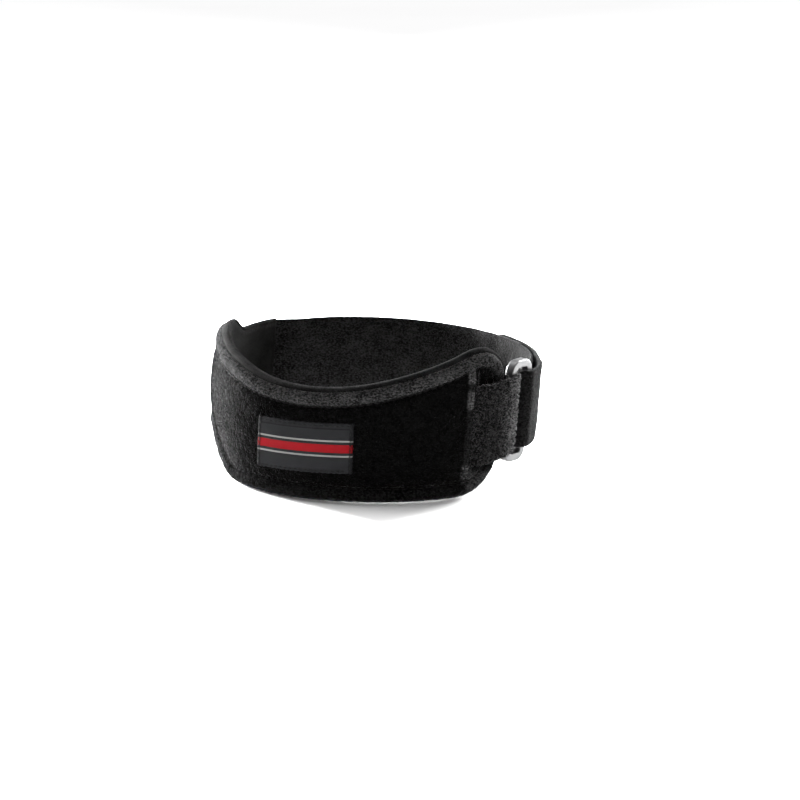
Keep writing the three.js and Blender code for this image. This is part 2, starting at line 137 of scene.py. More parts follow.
# Ring and its tab
RING_GAP = 0.0014
RING_TILT = math.radians(-1)
RING_WIDTH = 0.014
RING_BAR = 0.0032
RING_THICKNESS = 0.0036
RING_CORNER = 0.005
RING_EDGE_ROUND = 0.0005
TAB_THICKNESS = 0.0014
TAB_EDGE = 0.0006
TAB_MARGIN = 0.001
TAB_WRAP = math.radians(260)
TAB_SLOPE = 0.08
TAB_TUCK = 0.0008
TAB_PRESS = 0.0021
TAB_PRESS_LENGTH = 0.007
# Where the painted highlight on the tab's loops begins and is full, measured along the tab from the rib
TAB_FOLD_LIGHT_START = 0.010
TAB_FOLD_LIGHT_FULL = 0.023

# Sizes that follow from those above
LOOP_WAVES = ((2, LOOP_OVAL, LOOP_OVAL_TURN), (3, LOOP_TRIANGLE, LOOP_TRIANGLE_TURN))
PLUSH_OFFSET = LINING_THICKNESS + CLEARANCE
FACE_OFFSET = PLUSH_OFFSET + RIM_THICKNESS
DIP_TOP = DIP_HEIGHT - PANEL_DROP
SEWN_HALF_HEIGHT = STRAP_WIDTH / 2 + SEWN_MARGIN
RING_HEIGHT = STRAP_WIDTH + 2 * (RING_END_CLEARANCE + RING_BAR)
RIB_ALONG = PANEL_RIGHT - RIB_INSET
RING_ALONG = PANEL_RIGHT + LINING_LIP + RING_GAP + RING_WIDTH / 2
BAR_SPACING = RING_WIDTH - RING_BAR
RING_OFFSET = STRAP_THICKNESS + CLEARANCE + RING_THICKNESS / 2 + BAR_SPACING / 2 * math.sin(RING_TILT)
LOOP_LENGTH = 2 * math.pi * (LOOP_RADIUS + FACE_OFFSET)
FAR_BAR_ALONG = RING_ALONG + BAR_SPACING / 2 - LOOP_LENGTH
OUTWARDS = math.pi / 2
INWARDS = 3 * math.pi / 2

# Fineness of the meshes
PANEL_COLUMNS = 440
PANEL_ROWS = 112
OUTLINE_STEP = 0.001
TAPE_STEP = 0.0008
TAB_STEP = 0.00035
EASE_STEPS = 24
SEAM_STEPS = 60
LABEL_SEAM_STEPS = 50
LABEL_GRID = (150, 70)
LINING_ROWS = 24
LINING_ROUND_STEPS = 6
LIP_STEPS = {"round": 8, "ease": 7, "middle": 3}
STRAP_ROWS = 26
TAB_ROWS = 90
TAPE_ROUND_STEPS = 9
BAR_STEPS = {"strap": 24, "tab": 40}
RING_STEPS = {"corner": 14, "side": 10}
BAR_SECTION_STEPS = {"corner": 5, "side": 4}
SMOOTHING = {"seam": 3, "strap": 2, "tab": 4}
DISTANCE_CHUNK = 4000
SHORTEST = 1e-12
SMALLEST_SQUARE = 1e-15
GRAIN_WAVES = 28
GRAIN_SPREAD = (0.6, 1.4)

# Surface relief
PLUSH_LUMPS = {"size": 0.0026, "height": 0.00011, "seed": 3}
PLUSH_CLUMPS = {"size": 0.0009, "height": 0.00012, "seed": 4}
PILE_STRETCH = 0.5
RIM_PULL = {"pitch": 0.0021, "height": 0.00007, "slant": 0.55, "start": 0.2, "full": 0.5, "fade": 0.85}
PUCKER = {"pitch": 0.0034, "height": 0.00009, "reach": 3}
STRAP_LUMPS = {"size": 0.006, "height": 0.00024, "seed": 31}
TAB_LUMPS = {"size": 0.0011, "height": 0.0003, "seed": 41}
LABEL_WAVES = {"size": 0.005, "height": 0.00008, "seed": 21}
FACES_APART = 9

# Painted highlight where light falls on the rim, the wing's foot and the rib, with painted shade beside the
# ring: across the rim in seam insets, across the rib in its widths, and in height in half widths of the strap
RIM_FADE = 0.01
PAINTED_LIGHT_RIM = {"full": 0.75, "none": 1.05, "most": 0.5, "low": 0.2, "painted_shade_beside_ring": 0.8}
PAINTED_LIGHT_UNDER_TAB = {"full": -1.5, "none": -1.2, "most": 1.1}
PAINTED_LIGHT_RIB = {"full": 0.3, "none": 0.6, "least": 0.15, "fade": 0.1}
RIB_LIT_STRETCHES = {"from": (-1.5, 0.28, 0.94), "to": (-1.06, 0.85, 1.35)}

# Fibres and loops
PLUSH_FIBRES = {"count": 62000, "length": 0.0007, "radius": 0.00007, "lean": 0.9, "seed": 11}
STRAP_FIBRES = {"count": 52000, "length": 0.0005, "radius": 0.00006, "lean": 1.1, "seed": 13}
FIBRE_SPREAD = {"radius": (0.7, 1.3), "length": (0.55, 1.25), "comb": 0.35}
TAB_LOOPS = {"count": 5000, "radius": 0.00052, "thread": 0.00012, "seed": 12}
LOOP_FORM = {"rings": 6, "reach": (0.7, 1.35), "rise": 1.25, "foot": 0.25, "sway": 0.5}
LEAST_OUTSIDE = 0.12
BACK_FACING = -0.6

# Stitches
THREAD_RADIUS = 0.00016
STITCH_FORM = {"rings": 7, "sides": 6, "rise": 2.4, "sink": 1.5, "arch": 0.6, "end": 0.08, "girth": 0.35}
SEAM_STITCHES = {"length": 0.0024, "pitch": 0.0033}
RIB_STITCHES = {"length": 0.0018, "pitch": 0.0024}
LABEL_STITCHES = {"length": 0.0016, "pitch": 0.0023}

# Cloths with a pile: greys of roots and tips, width of a clump, bloom and its spread, and how much lighter
# the painted highlight makes the cloth where the mesh asks for it
PILE_COLUMNS = ("dark", "light", "clump", "sheen", "spread", "lift")
PILE_CLOTHS = {
    "plush": (0.0002, 0.0035, 0.0009, 0.3, 0.16, 26),
    "plush_pile": (0.0002, 0.0055, 0.0009, 0.09, 0.2, 20),
    "strap_cloth": (0.0004, 0.012, 0.0009, 0.1, 0.25, 0),
    "strap_nap": (0.0006, 0.03, 0.0011, 0.1, 0.25, 0),
    "loop_tape": (0.0006, 0.008, 0.001, 0.1, 0.3, 0),
    "loop_thread": (0.001, 0.05, 0.0011, 0.12, 0.3, 2.8),
}
PILE_LOOK = {"fine": 0.8, "coarse_size": 6, "upright": 1.5, "dark_at": 0.4, "light_at": 0.62,
             "roughness": 0.96, "specular": 0.02, "tint": (0.75, 0.75, 0.765, 1)}
PILE_MATTING = {"size": 2, "depth": 0.0004, "strength": 0.8, "upright": 1.2}
PILE_FLUFF = {"size": 0.6, "depth": 0.0007, "strength": 0.9, "upright": 1.2}

# Lining, threads, label, metal and floor. "Size" is how wide a bump is and "depth" how deep it looks.
# The knit's lift is how much lighter the painted highlight along the lining's top edge makes it
KNIT = {"dark": 0.0006, "light": 0.003, "fine": 0.6, "fine_size": 0.0007, "coarse_size": 0.006,
        "dark_at": 0.38, "light_at": 0.62, "roughness": 0.95, "specular": 0.01, "sheen": 0.005,
        "spread": 0.45, "lift": 2.6, "pitch": 0.0006, "second_pitch": 0.8, "depth": 0.0001, "strength": 0.8}
KNIT_FUZZ = {"size": 0.0012, "depth": 0.0002, "strength": 0.4}
THREAD_GREYS = {"dark_thread": 0.006, "label_thread": 0.01, "strap_thread": 0.03}
THREAD_LOOK = {"twist": 0.0005, "detail": 2.0, "dark": 0.6, "light": 1.4, "dark_at": 0.3, "light_at": 0.7,
               "roughness": 0.8, "specular": 0.1, "size": 0.0002, "depth": 0.0001, "strength": 0.5}
CHARCOAL = (0.017, 0.0175, 0.019)
PALE = (0.22, 0.22, 0.21)
RED = (0.24, 0.006, 0.01)
LABEL_BANDS = {"from": (0, 0.335, 0.37, 0.42, 0.58, 0.63, 0.665),
               "colour": (CHARCOAL, PALE, CHARCOAL, RED, CHARCOAL, PALE, CHARCOAL)}
LABEL_WEAVE = {"weft": 0.00028, "warp": 0.00034, "shade": 0.6, "dark": 0.45, "light_at": 0.6,
               "depth": 0.00008, "strength": 0.9, "roughness": 0.85, "specular": 0.08}
# Darker over both short ends, and a painted shadow line across the label below its top edge
LABEL_DARK_ENDS_AND_SHADOW_LINE = {"line": 0.89, "half_line": 0.012, "darker": 0.5}
METAL = {"patch": 0.004, "dark": (0.095, 0.096, 0.098), "light": (0.13, 0.13, 0.13), "dark_at": 0.3,
         "light_at": 0.7, "smooth": 0.42, "rough": 0.52, "mottle": 0.0015, "detail": 6.0}
METAL_SCRATCHES = {"size": 0.0006, "detail": 4.0, "depth": 0.00003, "strength": 0.35}
FLOOR = {"reach": 6.0, "drop": 0.0004, "patch": 0.4, "dark": 0.92, "light": 0.95, "dark_at": 0.3,
         "light_at": 0.7, "roughness": 0.7}
WAVE_PITCH = math.pi / 10  # between the ridges of a wave texture of scale 1

# The photograph's view, in a frame of 800 by 800 pixels
FRAME_PIXELS = 800
CAMERA_AZIMUTH = math.radians(28)
CAMERA_ELEVATION = math.radians(14.4)
CAMERA_DISTANCE = 1.1
NEAR_PLANE = 0.06
NEAR_PLANE_PIXEL = 0.000395
ORIGIN_PIXEL = (372.5, 386.4)
SENSOR_WIDTH = 36
CAMERA_RANGE = (0.01, 20)

# Lights, with azimuths measured from the camera's towards its right, in degrees
WORLD_STRENGTH = 0.36
LEFT_SIDE = {"azimuth": -133, "elevation": 6, "distance": 1.0, "size": 0.3, "power": 225}
RIGHT_SIDE = {"azimuth": 134, "elevation": 20, "distance": 1.0, "size": 0.5, "power": 74}
OVERHEAD = {"azimuth": -150, "elevation": 76, "distance": 2, "spread": 35, "strength": 2.3}


# Curves and random fields
def smoothstep(value, low, high):
    share = np.clip((value - low) / (high - low), 0, 1)
    return share * share * (3 - 2 * share)


def read_table(rows, values, x):
    """Smooth curve through the rows of a table, flat past both ends."""
    xs = np.asarray(rows, float)
    ys = np.asarray(values, float)
    slopes = np.zeros(len(xs))
    slopes[1:-1] = (ys[2:] - ys[:-2]) / (xs[2:] - xs[:-2])
    x = np.clip(x, xs[0], xs[-1])
    i = np.clip(np.searchsorted(xs, x, side="right") - 1, 0, len(xs) - 2)
    span = xs[i + 1] - xs[i]
    u = (x - xs[i]) / span
    start = ys[i] * (1 + 2 * u) * (1 - u) ** 2 + slopes[i] * span * u * (1 - u) ** 2
    end = ys[i + 1] * (3 - 2 * u) * u ** 2 - slopes[i + 1] * span * u ** 2 * (1 - u)
    return start + end


def grain(points, size, seed):
    """Smooth random field over points, mostly between -1 and 1, with lumps about as wide as size."""
    rng = np.random.default_rng(seed)
    waves = rng.normal(size=(GRAIN_WAVES, points.shape[-1]))
    waves /= np.linalg.norm(waves, axis=1, keepdims=True)
    waves *= math.pi / size * rng.uniform(*GRAIN_SPREAD, (GRAIN_WAVES, 1))
    phases = rng.uniform(0, 2 * math.pi, GRAIN_WAVES)
    return np.cos(points @ waves.T + phases).sum(-1) / math.sqrt(2 * GRAIN_WAVES)


def relief(points, lumps):
    return lumps["height"] * grain(points, lumps["size"], lumps["seed"])


def unit(vectors):
    length = np.linalg.norm(vectors, axis=-1, keepdims=True)
    return vectors / np.maximum(length, SHORTEST)


def run_along(path):
    """How far along a line each of its points is."""
    return np.concatenate([[0], np.cumsum(np.linalg.norm(np.diff(path, axis=0), axis=1))])


def even_turns(count):
    return np.arange(count) * 2 * math.pi / count


def round_share(share):
    """Height of a quarter circle at a share of the way in from its edge."""
    return np.sqrt(np.clip(1 - (1 - np.clip(share, 0, 1)) ** 2, 0, 1))


# Plan of the loop. The turn runs from -Y towards +X, and the face at that turn looks outwards along it.
def support(turn, offset):
    waves = sum(height * np.cos(n * (turn - start)) for n, height, start in LOOP_WAVES)
    return LOOP_RADIUS + offset + waves


def support_slope(turn):
    return -sum(n * height * np.sin(n * (turn - start)) for n, height, start in LOOP_WAVES)


def along_from_start(turn):
    waves = sum(height * (1 / n - n) * np.sin(n * (turn - start)) for n, height, start in LOOP_WAVES)
    return (LOOP_RADIUS + FACE_OFFSET) * turn + waves


def turn_at(along):
    along = np.asarray(along, float)
    target = along + along_from_start(0.0)
    turn = along / (LOOP_RADIUS + FACE_OFFSET)
    for _ in range(TURN_CORRECTIONS):
        turn = turn + (target - along_from_start(turn)) / (LOOP_RADIUS + FACE_OFFSET)
    return turn


def outward(turn):
    return np.stack([np.sin(turn), -np.cos(turn)], -1)


def onward(turn):
    return np.stack([np.cos(turn), np.sin(turn)], -1)


def plan_at(along, offset):
    turn = turn_at(along)
    out = outward(turn) * np.asarray(support(turn, offset))[..., None]
    return out + onward(turn) * np.asarray(support_slope(turn))[..., None]


def lift_to(plan, z):
    shift = LEAN * z
    x = plan[..., 0] + shift * math.cos(LEAN_TURN)
    y = plan[..., 1] + shift * math.sin(LEAN_TURN)
    return np.stack([x, y, z + 0 * x], -1)


def place(along, offset, z):
    return lift_to(plan_at(along, offset), z)


def facing_at(along):
    return np.concatenate([outward(turn_at(along)), np.zeros((len(along), 1))], -1)


# Outline of the panel as cut flat. "Grow" moves its top edge and the end of its wing outwards.
def corner_depth(run, radius):
    return np.sqrt(np.maximum(radius ** 2 - run ** 2, 0))


def top_edge(along, grow=0.0):
    share = np.clip(-along / PANEL_LEFT, 0, 1)
    high = DIP_TOP + WING_RISE * read_table(TOP_EDGE_LEFT["along"], TOP_EDGE_LEFT["rise"], share)
    down = smoothstep(share, TOP_EDGE_LEFT["along"][-1], TOP_EDGE_LEFT_SEWN)
    left = grow + high + (SEWN_HALF_HEIGHT - high) * down
    rise = read_table(TOP_EDGE_RIGHT["along"], TOP_EDGE_RIGHT["rise"], along / PANEL_RIGHT)
    right = grow + DIP_TOP + WING_RISE * rise
    corner_along = PANEL_RIGHT - WING_TOP_RADIUS
    corner_z = DIP_TOP + WING_RISE - WING_TOP_RADIUS
    corner = corner_z + corner_depth(along - corner_along, WING_TOP_RADIUS + grow)
    return np.where(along < 0, left, np.where(along <= corner_along, right, corner))


def bottom_edge(along, grow=0.0):
    corner_along = PANEL_RIGHT - WING_BOTTOM_RADIUS
    run = (along - corner_along) * WING_BOTTOM_RADIUS / (WING_BOTTOM_RADIUS + grow)
    corner = WING_BOTTOM_RADIUS - PANEL_DROP - corner_depth(run, WING_BOTTOM_RADIUS)
    rise = smoothstep(-along, TAPER_START, TAPER_START + TAPER_LENGTH)
    straight = (PANEL_DROP - SEWN_HALF_HEIGHT) * rise - PANEL_DROP
    return np.where(along > corner_along, corner, straight)


def panel_columns(count, grow=0.0):
    """Along and heights of the panel's two edges, closer together towards the end of the wing."""
    total = PANEL_RIGHT + grow + PANEL_LEFT
    along = -PANEL_LEFT + total * np.sin(np.linspace(0, math.pi / 2, count))
    return along, bottom_edge(along, grow), top_edge(along, grow)


def panel_outline():
    count = math.ceil((PANEL_RIGHT + PANEL_LEFT) / OUTLINE_STEP)
    along, bottom, top = panel_columns(count + 1)
    return np.vstack([np.stack([along, bottom], -1), np.stack([along, top], -1)[::-1]])


OUTLINE = panel_outline()
OUTLINE_RUN = run_along(OUTLINE)


def nearest_on_outline(along, z):
    """Distance to the panel's outline, and how far round the outline the nearest place is."""
    here = np.stack([np.ravel(along), np.ravel(z)], -1)
    edge = np.diff(OUTLINE, axis=0)
    square = np.maximum((edge ** 2).sum(-1), SMALLEST_SQUARE)
    distance = np.empty(len(here))
    run = np.empty(len(here))
    for start in range(0, len(here), DISTANCE_CHUNK):
        some = slice(start, start + DISTANCE_CHUNK)
        away = here[some, None] - OUTLINE[None, :-1]
        share = np.clip((away * edge).sum(-1) / square, 0, 1)
        gap = np.linalg.norm(away - share[..., None] * edge, axis=-1)
        best = gap.argmin(1)
        rows = np.arange(len(best))
        distance[some] = gap[rows, best]
        run[some] = OUTLINE_RUN[best] + share[rows, best] * np.sqrt(square[best])
    return distance.reshape(np.shape(along)), run.reshape(np.shape(along))


def plush_thickness(along, z, fine=True):
    """Rolled rim, stitched channel, crowned middle, rib and thin sewn end, with the pile's lumps if fine."""
    along, z = np.broadcast_arrays(along, z)
    distance, run = nearest_on_outline(along, z)
    inset = distance / SEAM_INSET
    padded = RIM_THICKNESS * read_table(PLUSH_PROFILE["inset"], PLUSH_PROFILE["thickness"], inset)
    from_rib = np.abs(along - RIB_ALONG) / (RIB_WIDTH / 2)
    rib = RIB_HEIGHT * smoothstep(inset, RIB_START, RIB_FULL) * (1 - smoothstep(from_rib, RIB_FLAT, 1))
    past_rib = smoothstep(along - RIB_ALONG, RECESS_START, RECESS_START + RECESS_LENGTH)
    padded = padded + rib - RECESS_DEPTH * past_rib * smoothstep(inset, 1, RECESS_FULL)
    if fine:
        padded = padded + seam_relief(distance, run) + pile_relief(along, z)
    sewn_end = PANEL_LEFT - SEWN_LENGTH
    sewn = smoothstep(-along, sewn_end - THINNING_LENGTH, sewn_end)
    thickness = padded + (SEWN_THICKNESS - padded) * sewn
    return thickness * round_share(distance / RIM_ROUND)


def painted_light(along, z):
    """Painted highlight on the rim, most on top, on the wing's foot and the rib; painted shade by the ring.
    """
    distance, _ = nearest_on_outline(along, z)
    inset = distance / SEAM_INSET
    rim = 1 - smoothstep(inset, PAINTED_LIGHT_RIM["full"], PAINTED_LIGHT_RIM["none"])
    past_rib = smoothstep(along - RIB_ALONG, 0, RIB_WIDTH)
    wing_end = smoothstep(along, PANEL_RIGHT - WING_TOP_RADIUS, PANEL_RIGHT)
    # Painted shade: less rim highlight on the wing's end below its top corner, beside the ring
    ring_side_shade = wing_end * (1 - smoothstep(z, DIP_TOP, DIP_TOP + WING_RISE))
    # Painted highlight strongest on the rim's top side, as light falls from above
    lit_from_above = smoothstep(z, -RIM_FADE, RIM_FADE)
    rim = rim * (PAINTED_LIGHT_RIM["low"] + (1 - PAINTED_LIGHT_RIM["low"]) * lit_from_above)
    rim = rim * (1 - PAINTED_LIGHT_RIM["painted_shade_beside_ring"] * ring_side_shade)
    height = z / (STRAP_WIDTH / 2)
    # Painted highlight on the wing's foot, below the tab
    under_tab = past_rib * (1 - smoothstep(height, PAINTED_LIGHT_UNDER_TAB["full"], PAINTED_LIGHT_UNDER_TAB["none"]))
    rim = np.maximum(rim, PAINTED_LIGHT_UNDER_TAB["most"] * under_tab)
    # Painted highlight on the rib, in lit stretches up its height
    from_rib = np.abs(along - RIB_ALONG) / RIB_WIDTH
    rib = 1 - smoothstep(from_rib, PAINTED_LIGHT_RIB["full"], PAINTED_LIGHT_RIB["none"])
    fade = PAINTED_LIGHT_RIB["fade"]
    lit = PAINTED_LIGHT_RIB["least"]
    for low, high in zip(RIB_LIT_STRETCHES["from"], RIB_LIT_STRETCHES["to"]):
        stretch = smoothstep(height, low, low + fade) * (1 - smoothstep(height, high - fade, high))
        lit = lit + (1 - PAINTED_LIGHT_RIB["least"]) * stretch
    return np.clip(np.maximum(PAINTED_LIGHT_RIM["most"] * rim, rib * lit), 0, 1)


def seam_relief(distance, run):
    """Groove that the stitches pull down, its puckers, and the slanting pulls across the rim."""
    from_seam = (distance - SEAM_INSET) / SEAM_HALF_WIDTH
    groove = -SEAM_DEPTH * np.exp(-from_seam ** 2)
    near = np.exp(-(from_seam / PUCKER["reach"]) ** 2)
    pucker = PUCKER["height"] * np.cos(2 * math.pi * run / PUCKER["pitch"]) * near
    phase = run / RIM_PULL["pitch"] + RIM_PULL["slant"] * distance / RIM_PULL["pitch"]
    inset = distance / SEAM_INSET
    on_rim = smoothstep(inset, RIM_PULL["start"], RIM_PULL["full"])
    on_rim = on_rim * (1 - smoothstep(inset, RIM_PULL["fade"], 1))
    return groove + pucker + RIM_PULL["height"] * on_rim * np.cos(2 * math.pi * phase)


def pile_relief(along, z):
    flat = np.stack([along * PILE_STRETCH, z], -1)
    return relief(flat, PLUSH_LUMPS) + relief(flat, PLUSH_CLUMPS)


# Meshes from arrays
def mesh_object(name, points, faces, material, uv=None, smooth=True, shade=None):
    mesh = bpy.data.meshes.new(name)
    mesh.from_pydata(points.reshape(-1, 3), [], faces)
    if uv is not None:
        layer = mesh.uv_layers.new(name="flat")
        corner = np.empty(len(mesh.loops), np.int32)
        mesh.loops.foreach_get("vertex_index", corner)
        layer.data.foreach_set("uv", uv.reshape(-1, 2)[corner].astype(np.float32).ravel())
    # Painted highlight and shade, kept for the cloth materials to read
    if shade is not None:
        mesh.attributes.new("painted_light", "FLOAT", "POINT").data.foreach_set("value", shade.ravel())
    mesh.polygons.foreach_set("use_smooth", np.full(len(mesh.polygons), smooth))
    mesh.materials.append(material)
    mesh.update()
    thing = bpy.data.objects.new(name, mesh)
    bpy.context.scene.collection.objects.link(thing)
    return thing


def grid_faces(rows, columns, wrap=False):
    """Quads of a grid of points stored row by row. With wrap, the last column joins the first."""
    i = np.arange(rows - 1)[:, None] * columns
    j = np.arange(columns if wrap else columns - 1)[None]
    k = (j + 1) % columns
    quads = np.stack([i + j, i + k, i + columns + k, i + columns + j], -1)
    return quads.reshape(-1, 4).tolist()


def tube_faces(rows, columns):
    """A closed tube: a wrapped grid with its first and last rows capped."""
    ends = [list(range(columns))[::-1], list(range((rows - 1) * columns, rows * columns))]
    return grid_faces(rows, columns, wrap=True) + ends


def turned_outwards(thing):
    """Makes every face look out of its closed mesh."""
    bpy.context.view_layer.objects.active = thing
    thing.select_set(True)
    bpy.ops.object.mode_set(mode="EDIT")
    bpy.ops.mesh.select_all(action="SELECT")
    bpy.ops.mesh.normals_make_consistent(inside=False)
    bpy.ops.object.mode_set(mode="OBJECT")
    thing.select_set(False)
    return thing


def of_vertices(thing, name):
    """The places or the normals of a piece's vertices."""
    values = np.empty(len(thing.data.vertices) * 3)
    thing.data.vertices.foreach_get(name, values)
    return values.reshape(-1, 3)


def scattered(thing, count, rng, weight):
    """Random places on a piece, their normals and UV, by a weight from each face's middle, normal and UV."""
    points = of_vertices(thing, "co")
    normals = of_vertices(thing, "normal")
    polygons = [p for p in thing.data.polygons if len(p.vertices) == 4]
    quads = np.array([p.vertices[:] for p in polygons])
    flat = np.empty(len(thing.data.loops) * 2, np.float32)
    thing.data.uv_layers[0].data.foreach_get("uv", flat)
    first = np.array([p.loop_start for p in polygons])
    corner_uv = flat.reshape(-1, 2)[first[:, None] + np.arange(4)]
    corners = points[quads]
    across = np.cross(corners[:, 2] - corners[:, 0], corners[:, 3] - corners[:, 1])
    area = np.linalg.norm(across, axis=1) / 2
    share = area * weight(corners.mean(1), unit(normals[quads].mean(1)), corner_uv.mean(1))
    picked = rng.choice(len(quads), count, p=share / share.sum())
    u, v = rng.random((2, count, 1))
    mix = [(1 - u) * (1 - v), u * (1 - v), u * v, (1 - u) * v]
    at = sum(m * corners[picked, k] for k, m in enumerate(mix))
    facing = sum(m * normals[quads[picked, k]] for k, m in enumerate(mix))
    uv = sum(m * corner_uv[picked, k] for k, m in enumerate(mix))
    return at, unit(facing), uv


def square_to(normals, rng):
    """Random directions square to the normals."""
    return unit(np.cross(normals, rng.normal(size=normals.shape)))


def fibre_mesh(name, at, facing, fibres, rng, material, shade=None):
    """Short pointed fibres that stand on a surface and lean each its own way."""
    count = len(at)
    side = square_to(facing, rng)
    other = np.cross(facing, side)
    radius = fibres["radius"] * rng.uniform(*FIBRE_SPREAD["radius"], (count, 1))
    length = fibres["length"] * rng.uniform(*FIBRE_SPREAD["length"], (count, 1))
    combed = facing + fibres["lean"] * (side + FIBRE_SPREAD["comb"] * unit(np.cross(facing, [0, 0, 1])))
    tip = at + unit(combed) * length
    root = at - facing * radius
    ring = [root + radius * (math.cos(a) * side + math.sin(a) * other) for a in even_turns(3)]
    points = np.stack([*ring, tip], 1)
    start = np.arange(count)[:, None] * 4
    faces = np.concatenate([start + [[0, 1, 3]], start + [[1, 2, 3]], start + [[2, 0, 3]]])
    shade = np.repeat(np.zeros(count) if shade is None else shade, 4)
    return mesh_object(name, points, faces.tolist(), material, smooth=False, shade=shade)


def loop_mesh(name, at, facing, loops, rng, material, shade):
    """Small upright loops of thread whose two ends go into the surface."""
    count = len(at)
    side = square_to(facing, rng)
    upright = unit(facing + LOOP_FORM["sway"] * rng.normal(size=facing.shape))
    side = unit(side - (side * upright).sum(-1, keepdims=True) * upright)
    thick = np.cross(side, upright)
    reach = loops["radius"] * rng.uniform(*LOOP_FORM["reach"], (count, 1))
    angles = np.linspace(-LOOP_FORM["foot"], math.pi + LOOP_FORM["foot"], LOOP_FORM["rings"])
    rings = []
    for angle in angles:
        out = math.cos(angle) * side + math.sin(angle) * upright
        middle = at + reach * (math.cos(angle) * side + LOOP_FORM["rise"] * math.sin(angle) * upright)
        for turn in even_turns(3):
            rings.append(middle + loops["thread"] * (math.cos(turn) * out + math.sin(turn) * thick))
    points = np.stack(rings, 1)
    one = np.array([[r * 3 + k, r * 3 + (k + 1) % 3, r * 3 + 3 + (k + 1) % 3, r * 3 + 3 + k]
                    for r in range(len(angles) - 1) for k in range(3)])
    faces = (np.arange(count)[:, None, None] * len(angles) * 3 + one).reshape(-1, 4)
    return mesh_object(name, points, faces.tolist(), material, shade=np.repeat(shade, len(rings)))


def resample(path, step):
    """The same line with its points at even steps."""
    run = run_along(path)
    count = max(int(round(run[-1] / step)), 1)
    at = np.linspace(0, run[-1], count + 1)
    return np.stack([np.interp(at, run, path[:, k]) for k in range(path.shape[1])], -1)


def smoothed(path, width):
    """Evens out the bends of a line over a few points, with its ends kept."""
    kernel = np.hanning(2 * width + 3)[1:-1]
    kernel /= kernel.sum()
    held = np.pad(path, ((width, width), (0, 0)), mode="reflect", reflect_type="odd")
    return np.stack([np.convolve(held[:, k], kernel, "valid") for k in range(path.shape[1])], -1)


# Stitches: each is a short bent thread whose two ends go down into the cloth
def stitch_mesh(name, lines, material, stitch=SEAM_STITCHES):
    """Rows of stitches along lines of places with their normals."""
    rows, sides = STITCH_FORM["rings"], STITCH_FORM["sides"]
    length, pitch = stitch["length"], stitch["pitch"]
    share = np.linspace(0, 1, rows)
    lift = STITCH_FORM["rise"] * np.sin(math.pi * share) ** STITCH_FORM["arch"] - STITCH_FORM["sink"]
    inside = STITCH_FORM["end"] + (1 - 2 * STITCH_FORM["end"]) * share
    girth = THREAD_RADIUS * np.sin(math.pi * inside) ** STITCH_FORM["girth"]
    points = []
    for at, facing in lines:
        run = run_along(at)
        for start in np.arange(pitch - length, run[-1] - length, pitch):
            where = start + share * length
            middle = np.stack([np.interp(where, run, at[:, k]) for k in range(3)], -1)
            up = unit(np.stack([np.interp(where, run, facing[:, k]) for k in range(3)], -1))
            side = np.cross(unit(np.gradient(middle, axis=0)), up)
            middle = middle + up * THREAD_RADIUS * lift[:, None]
            turn = even_turns(sides)[:, None]
            for k in range(rows):
                points.append(middle[k] + girth[k] * (np.cos(turn) * side[k] + np.sin(turn) * up[k]))
    points = np.array(points)
    one = tube_faces(rows, sides)
    faces = [[v + s * rows * sides for v in face] for s in range(len(points) // rows) for face in one]
    return mesh_object(name, points, faces, material)


# Materials
def new_material(name):
    material = bpy.data.materials.new(name)
    material.use_nodes = True
    tree = material.node_tree
    return material, tree, tree.nodes["Principled BSDF"]


def add_node(tree, kind, **values):
    node = tree.nodes.new(kind)
    for name, value in values.items():
        if name in node.inputs:
            node.inputs[name].default_value = value
        else:
            setattr(node, name, value)
    return node


def coordinates(tree, kind):
    return add_node(tree, "ShaderNodeTexCoord").outputs[kind]


def noise(tree, size, detail=3.0, upright=1.0):
    """Noise whose lumps are about as wide as size, and lower than wide where upright is over 1."""
    node = add_node(tree, "ShaderNodeTexNoise", Scale=1 / size, Detail=detail)
    mapping = add_node(tree, "ShaderNodeMapping", Scale=(1, 1, upright))
    tree.links.new(coordinates(tree, "Object"), mapping.inputs["Vector"])
    tree.links.new(mapping.outputs["Vector"], node.inputs["Vector"])
    return node.outputs["Fac"]


def threads(tree, pitch, direction):
    """Ridges a pitch apart on the flat cloth."""
    node = add_node(tree, "ShaderNodeTexWave", Scale=WAVE_PITCH / pitch, Distortion=0.0)
    node.bands_direction = direction
    tree.links.new(coordinates(tree, "UV"), node.inputs["Vector"])
    return node.outputs["Fac"]


def mixed_noise(tree, fine, coarse, share, upright=1.0):
    """Noise of two sizes, of which the fine one has that share."""
    first = math_node(tree, "MULTIPLY", noise(tree, fine, upright=upright), share)
    return math_node(tree, "ADD", first, math_node(tree, "MULTIPLY", noise(tree, coarse), 1 - share))


def math_node(tree, operation, first, second):
    node = add_node(tree, "ShaderNodeMath", operation=operation)
    for socket, value in zip(node.inputs, (first, second)):
        if isinstance(value, (int, float)):
            socket.default_value = value
        else:
            tree.links.new(value, socket)
    return node.outputs[0]


def ramp(tree, value, stops, interpolation="LINEAR"):
    """Colours by value. Each stop is a place and a colour, or a place and a grey."""
    node = add_node(tree, "ShaderNodeValToRGB")
    node.color_ramp.interpolation = interpolation
    while len(node.color_ramp.elements) < len(stops):
        node.color_ramp.elements.new(0.5)
    for element, (at, colour) in zip(node.color_ramp.elements, stops):
        element.position = at
        element.color = (*colour, 1) if isinstance(colour, tuple) else (colour, colour, colour, 1)
    tree.links.new(value, node.inputs["Fac"])
    return node.outputs["Color"]


def dark_to_light(tree, value, look, grey=None):
    """The look's two colours by value. With a grey, its two tones are shares of it."""
    colours = [look[tone] if grey is None else grey * look[tone] for tone in ("dark", "light")]
    return ramp(tree, value, [*zip((look["dark_at"], look["light_at"]), colours)])


